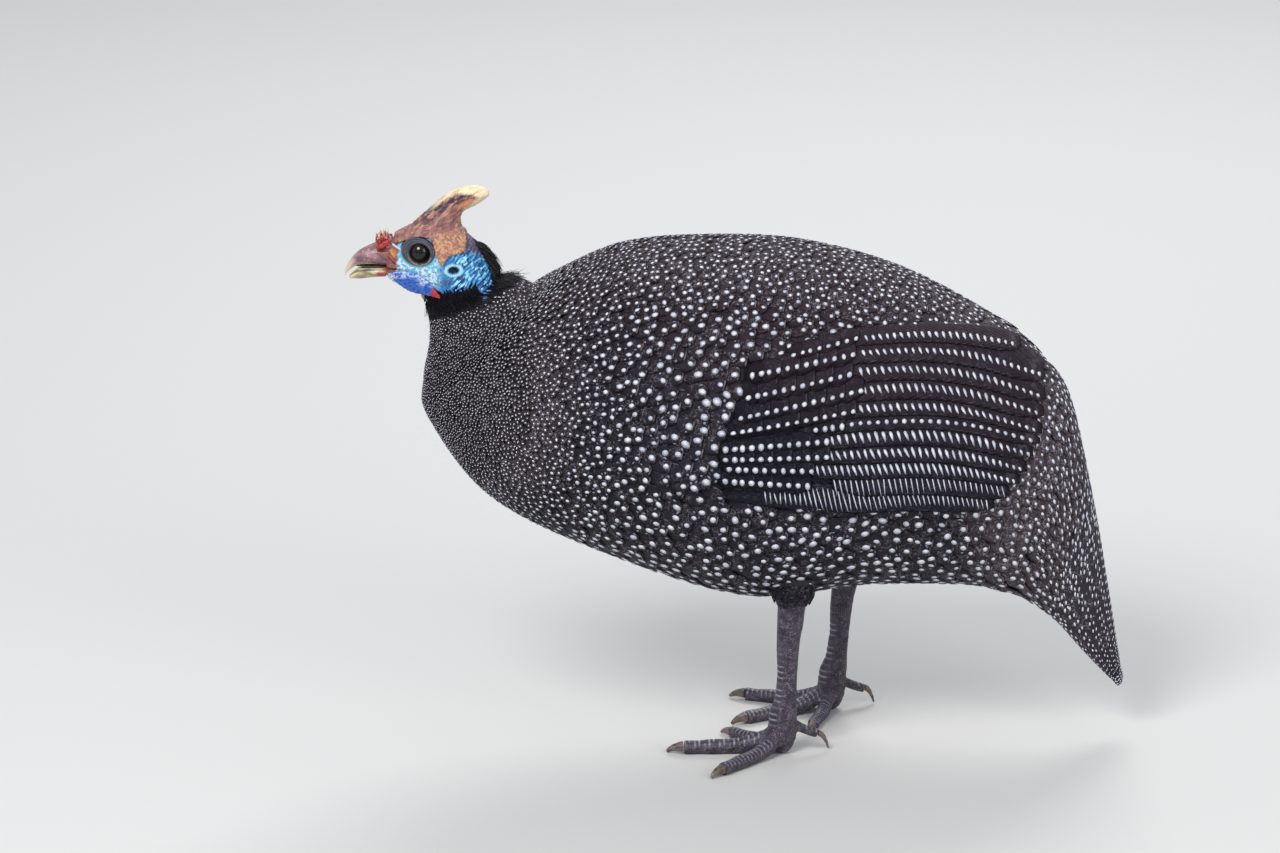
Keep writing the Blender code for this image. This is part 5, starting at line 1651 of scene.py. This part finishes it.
class Tail(Assembly):
    """The drooping tail: long feathers over its core."""

    def build(self, body: BodyForm) -> None:
        """Args:
            body: the body's form.
        """
        self.body = body
        counts, roots, ends, lows = (14, 12), (19.6, 20.6), (22.2, 22.9), (-0.4, -0.8)
        root, way, half, low = [], [], [], []
        for count, first, end, base in zip(counts, roots, ends, lows):
            share = (np.arange(count) + 0.5) / count
            angle = -math.pi + 2 * math.pi * share
            root.append(np.stack((np.full(count, first), angle), axis=1))
            way.append(np.tile((end - first, 0.0), (count, 1)))
            half.append(np.tile((0.0, 2 * math.pi / count * 0.8), (count, 1)))
            low.append(np.full(count, base * MM))
        root, way, half, low = (np.concatenate(part) for part in (root, way, half, low))
        vanes = Vanes(body, root, way, half, low, low + 0.0008, arch=0.0004, thick=0.0005, net=0.6, home=unit_square(root))
        vanes.measure()
        piece = vanes.build("coat_tail", Template.lens(np.linspace(0, 1, 12), 5, blade_outline).flipped())
        self.declare(piece, FEATHER, "plumage", "tail")
        who, t, s = [], [], []
        for k in range(len(root)):
            rows = int(vanes.reach[k] / (4.6 * MM))
            for row in range(rows):
                who += [k, k]
                t += [0.06 + row * 4.6 * MM / vanes.reach[k]] * 2
                s += [-0.42, 0.42]
        who, t, s = np.array(who), np.array(t), np.array(s)
        keep = t < 0.97
        size = np.tile((0.9 * MM, 0.7 * MM), (keep.sum(), 1))
        spots = vanes.spots("spots_tail", Template.dot(8).flipped(), who[keep], t[keep], s[keep], size, np.zeros(keep.sum()))
        self.declare(spots, DOT_FINISH, "plumage")


class Hair(Assembly):
    """The fine hair-like feathers of the nape and neck, and the bristles over the nostrils."""

    def build(self, body: BodyForm) -> None:
        """Args:
            body: the body's form.
        """
        self.body = body
        self.random = np.random.default_rng(SEED + 20)
        self.tuft("hair_nape", 1100, (5.75, 8.4), 0.46, 0.0, (6.5, 12.5), (0.20, 0.70), 0.00028)
        self.tuft("hair_neck", 2600, (6.3, 9.5), 0.75, 1.55, (5.0, 9.5), (0.06, 0.18), 0.00022)
        self.bristles()

    def tuft(self, name: str, count: int, rows: tuple[float, float], spread: float, middle: float,
             lengths: tuple[float, float], rises: tuple[float, float], thick: float) -> None:
        """Plants hairs on the neck, outside the bare skin.

        Args:
            name: the piece's name.
            count: how many are tried.
            rows: the first and last of the body's rows they stand on.
            spread, middle: how widely they are spread round the neck, and about which angle.
            lengths: the shortest and longest, in millimetres.
            rises: how far they stand up, as shares of their length.
            thick: their radius in metres.
        """
        body = self.body
        u = self.random.uniform(*rows, count)
        angle = middle + self.random.normal(0, spread, count)
        angle = angle * np.where(np.arange(count) % 2 == 0, 1, -1)
        start = body.points(u, angle, np.full(count, -0.0006))
        flat = start / MM
        free = inside_by(BARE_SKIN, flat[:, 0], flat[:, 2]) < 0.8
        free |= (np.abs(angle) < 0.3)
        u, angle, start = u[free], angle[free], start[free]
        count = len(u)
        ahead = body.points(u + 0.3, angle, np.zeros(count)) - body.points(u, angle, np.zeros(count))
        ahead /= np.linalg.norm(ahead, axis=1, keepdims=True)
        up = body.points(u, angle, np.full(count, 0.001)) - body.points(u, angle, np.zeros(count))
        up /= np.linalg.norm(up, axis=1, keepdims=True)
        length = self.random.uniform(*lengths, count)[:, None] * MM
        rise = self.random.uniform(*rises, count)[:, None]
        drift = self.random.normal(0, 0.12, (count, 3)) * length
        centre = start + ahead * length * 0.48 + up * length * rise * 0.45
        end = start + ahead * length + up * length * rise * 0.35 + drift
        home = unit_square(np.stack((u, angle), axis=1))
        piece = self.strands(name, start, centre, end, np.full(count, thick), home)
        self.declare(piece, HAIR_FINISH, "plumage")

    def strands(self, name: str, start: np.ndarray, middle: np.ndarray, end: np.ndarray,
                thick: np.ndarray, home: np.ndarray) -> bpy.types.Object:
        """Makes tapered three-sided hairs.

        Args:
            name: the piece's name.
            start, middle, end: the points each hair bends through.
            thick: each hair's radius at its root.
            home: each root's place on the bake map.
        Returns:
            The piece.
        """
        count, rows = len(start), 5
        t = np.linspace(0, 1, rows)[None, :, None]
        spine = (1 - t) ** 2 * start[:, None] + 2 * t * (1 - t) * (2 * middle - (start + end) / 2)[:, None] + t**2 * end[:, None]
        way = end - start
        side = np.cross(way, np.tile((0.3, 1.0, 0.2), (count, 1)))
        side /= np.linalg.norm(side, axis=1, keepdims=True) + 1e-9
        other = np.cross(way, side)
        other /= np.linalg.norm(other, axis=1, keepdims=True) + 1e-9
        turn = np.arange(3) * 2 * math.pi / 3
        radius = thick[:, None, None, None] * (1 - 0.85 * t[..., None])
        ring = np.cos(turn)[None, None, :, None] * side[:, None, None] + np.sin(turn)[None, None, :, None] * other[:, None, None]
        points = (spine[:, :, None, :] + ring * radius).reshape(count, rows * 3, 3)
        faces = [(2, 1, 0), (3 * rows - 3, 3 * rows - 2, 3 * rows - 1)]
        for k in range(3 * rows - 3):
            after = k + 1 if k % 3 < 2 else k - 2
            faces += [(k, after, after + 3), (k, after + 3, k + 3)]
        faces = (np.array(faces)[None] + (np.arange(count) * rows * 3)[:, None, None]).reshape(-1, 3)
        around = np.stack((np.cos(turn), np.sin(turn)), axis=-1) * 0.0016
        patch = (around[None] * (1 - 0.8 * t[0, :, :, None])).reshape(rows * 3, 2)
        return mesh_piece(name, points, faces, home[:, None, :] + patch[None])

    def bristles(self) -> None:
        """Makes the tuft of red bristles with pale tips over each nostril."""
        count = 52
        side = np.where(np.arange(count) % 2 == 0, -1.0, 1.0)
        start = np.stack((self.random.uniform(-197.0, -190.2, count), side * self.random.uniform(3.0, 5.8, count),
                          self.random.uniform(282.4, 284.0, count)), axis=1) * MM
        lean = np.stack((self.random.uniform(-0.4, 0.5, count), side * self.random.uniform(0.1, 0.5, count),
                         np.ones(count)), axis=1)
        length = self.random.uniform(1.8, 4.6, count)[:, None] * MM
        piece = self.strands("bristles", start, start + lean * length * 0.5, start + lean * length,
                             np.full(count, 0.00042), unit_square(start[:, :2]))
        z = points_of(piece)[:, 2] / MM
        self.paint(piece, "tip", smooth(z, 285.4, 286.8))
        kit = Shader("bristles")
        base = kit.mix(colour(176, 62, 44), colour(232, 208, 156), kit.attribute("tip", "Fac"))
        piece.data.materials.append(kit.finish(base, 0.5))
        self.declare(piece, None, "bare_skin")


class ThighForm:
    """The lower end of a feathered thigh, read by depth below its top and by angle."""

    TOP = 112.0
    MIDDLES = {"left": (30.6, -37.3), "right": (64.0, 37.3)}

    def __init__(self, side: str) -> None:
        """Args:
            side: left or right.
        """
        self.middle = self.MIDDLES[side]

    def points(self, depth: np.ndarray, angle: np.ndarray, out: np.ndarray) -> np.ndarray:
        """Args:
            depth: how far below the top, in metres.
            angle: the angles round the thigh.
            out: how far out.
        Returns:
            The points.
        """
        depth, angle, out = np.broadcast_arrays(depth, angle, out)
        z = self.TOP - depth / MM
        wide = np.interp(z, (84.0, 87.5, 92.0, 100.0, 112.0), (6.7, 7.6, 9.3, 8.8, 6.6)) * MM
        x = self.middle[0] * MM + (wide * 1.2 + out) * np.cos(angle)
        return np.stack((x, self.middle[1] * MM + (wide + out) * np.sin(angle), z * MM), axis=-1)


class Legs(Assembly):
    """The feathered thighs, the scaled legs and feet, and the claws."""

    ANKLES = {"left": (25.5, -37.0), "right": (57.5, 37.0)}

    def build(self) -> None:
        """Makes both legs."""
        self.random = np.random.default_rng(SEED + 40)
        for side in ("left", "right"):
            self.shank(side)
            self.thigh(side)
            self.claws(side)

    def shank(self, side: str) -> None:
        """Args:
            side: left or right.
        """
        piece = self.copy_of("skin_leg_" + side, "tarsus_" + side, "foot_" + side)
        points = self.remeshed(piece, 0.0008, 2)
        z = points[:, 2] / MM
        normals = normals_of(piece)
        centre = self.ANKLES[side]
        reach = np.hypot(points[:, 0] / MM - centre[0], points[:, 1] / MM - centre[1])
        shin = smooth(-normals[:, 0], 0.05, 0.6) * smooth(z, 14.0, 20.0) * smooth(z, 66.0, 48.0)
        toes = smooth(normals[:, 2], 0.15, 0.55) * smooth(reach, 9.0, 14.0) * smooth(z, 22.0, 15.0)
        bands = [smooth(np.abs(place % 1.0 - 0.5), 0.36, 0.48) for place in (z / 3.4, reach / 2.7)]
        scute = np.maximum(bands[0] * shin, bands[1] * toes)
        points[:, 2] = np.maximum(points[:, 2], 0.0)
        move_points(piece, points - normals * (scute * 0.4 * MM)[:, None] * (z > 2)[:, None])
        self.paint(piece, "scute", scute)
        self.paint(piece, "plate", np.maximum(shin, toes))
        self.declare(piece, Look.LEG, "leg_scales", "tarsus_" + side, "foot_" + side)

    def thigh(self, side: str) -> None:
        """Args:
            side: left or right.
        """
        piece = self.copy_of("skin_thigh_" + side, "thigh_" + side)
        points = self.remeshed(piece, 0.0012, 6)
        move_points(piece, points - normals_of(piece) * 0.0008)
        self.declare(piece, HAIR_FINISH, "plumage", "thigh_" + side)
        count, length = 15, 10.0
        tips = np.repeat((12.0, 15.5, 18.8, 22.0, 25.2), count)
        turn = (np.tile(np.arange(count), 5) + 0.5 * (np.arange(5 * count) // count)) * 2 * math.pi / count
        turn = turn + self.random.normal(0, 0.05, len(turn))
        tips = tips + self.random.normal(0, 0.6, len(turn))
        root = np.stack(((tips - length) * MM, turn), axis=1)
        way = np.tile((length * MM, 0.0), (len(turn), 1))
        half = np.tile((0.0, 1.25 * math.pi / count), (len(turn), 1))
        vanes = Vanes(ThighForm(side), root, way, half, np.full(len(turn), -0.0012), np.full(len(turn), 0.0006),
                      arch=0.0005, thick=0.0003, net=0.35, home=unit_square(root))
        vanes.measure()
        blade = Template.lens((0, 0.35, 0.62, 0.82, 0.94, 1.0), 5, vane_outline)
        self.declare(vanes.build("coat_thigh_" + side, blade), FEATHER, "plumage")

    def claws(self, side: str) -> None:
        """Args:
            side: left or right.
        """
        names = ["claw_%s_%s" % (side, toe) for toe in ("middle", "outer", "inner", "hind")]
        piece = self.copy_of("horn_claws_" + side, *names)
        points = self.remeshed(piece, 0.0004, 3)
        points[:, 2] = np.maximum(points[:, 2], 0.0)
        move_points(piece, points)
        self.declare(piece, CLAW_FINISH, "claw_horn", *names)


class Studio:
    """The floor, the light and the camera."""

    TARGET = Vector((-0.0531, 0.0, 0.1767))
    DISTANCE = 3.5
    ELEVATION = math.radians(16.5)

    def build(self) -> None:
        """Makes the stage."""
        shape = bmesh.new()
        bmesh.ops.create_grid(shape, x_segments=1, y_segments=1, size=30.0)
        mesh = bpy.data.meshes.new("floor")
        shape.to_mesh(mesh)
        shape.free()
        floor = bpy.data.objects.new("floor", mesh)
        bpy.context.scene.collection.objects.link(floor)
        kit = Shader("floor")
        floor.data.materials.append(kit.finish(colour(206, 205, 202), 0.9))
        bpy.context.scene.view_settings.view_transform = "Standard"
        world = bpy.data.worlds.new("studio")
        bpy.context.scene.world = world
        world.use_nodes = True
        world.node_tree.nodes["Background"].inputs["Color"].default_value = (0.86, 0.90, 1.0, 1.0)
        world.node_tree.nodes["Background"].inputs["Strength"].default_value = 0.55
        self.lamp("key", (-0.9, -1.6, 1.9), 1.1, 42.0)
        self.lamp("fill", (1.4, -1.5, 1.1), 1.4, 14.0)
        self.lamp("back", (0.3, 1.6, 1.8), 1.2, 26.0)
        camera = bpy.data.cameras.new("camera")
        camera.lens = 36 * self.DISTANCE / 0.704
        camera.clip_end = 100
        holder = bpy.data.objects.new("camera", camera)
        bpy.context.scene.collection.objects.link(holder)
        back = Vector((0, -math.cos(self.ELEVATION), math.sin(self.ELEVATION)))
        holder.location = self.TARGET + back * self.DISTANCE
        holder.rotation_euler = (-back).to_track_quat("-Z", "Y").to_euler()
        bpy.context.scene.camera = holder

    def lamp(self, name: str, place: tuple[float, float, float], size: float, power: float) -> None:
        """Args:
            name: the lamp's name.
            place: where it stands.
            size: its width.
            power: its watts.
        """
        light = bpy.data.lights.new(name, "AREA")
        light.shape = "DISK"
        light.size = size
        light.energy = power
        holder = bpy.data.objects.new(name, light)
        bpy.context.scene.collection.objects.link(holder)
        holder.location = place
        holder.rotation_euler = (self.TARGET - Vector(place)).to_track_quat("-Z", "Y").to_euler()


def main() -> None:
    """Builds the whole scene."""
    body = BodyForm()
    finishes = Finishes()
    Skin(finishes).build(body)
    HeadParts(finishes).build()
    Coat(finishes).build(body)
    for side in (-1, 1):
        Wing(finishes).build(body, side)
    Tail(finishes).build(body)
    Hair(finishes).build(body)
    Legs(finishes).build()
    Studio().build()


if __name__ == "__main__":
    main()
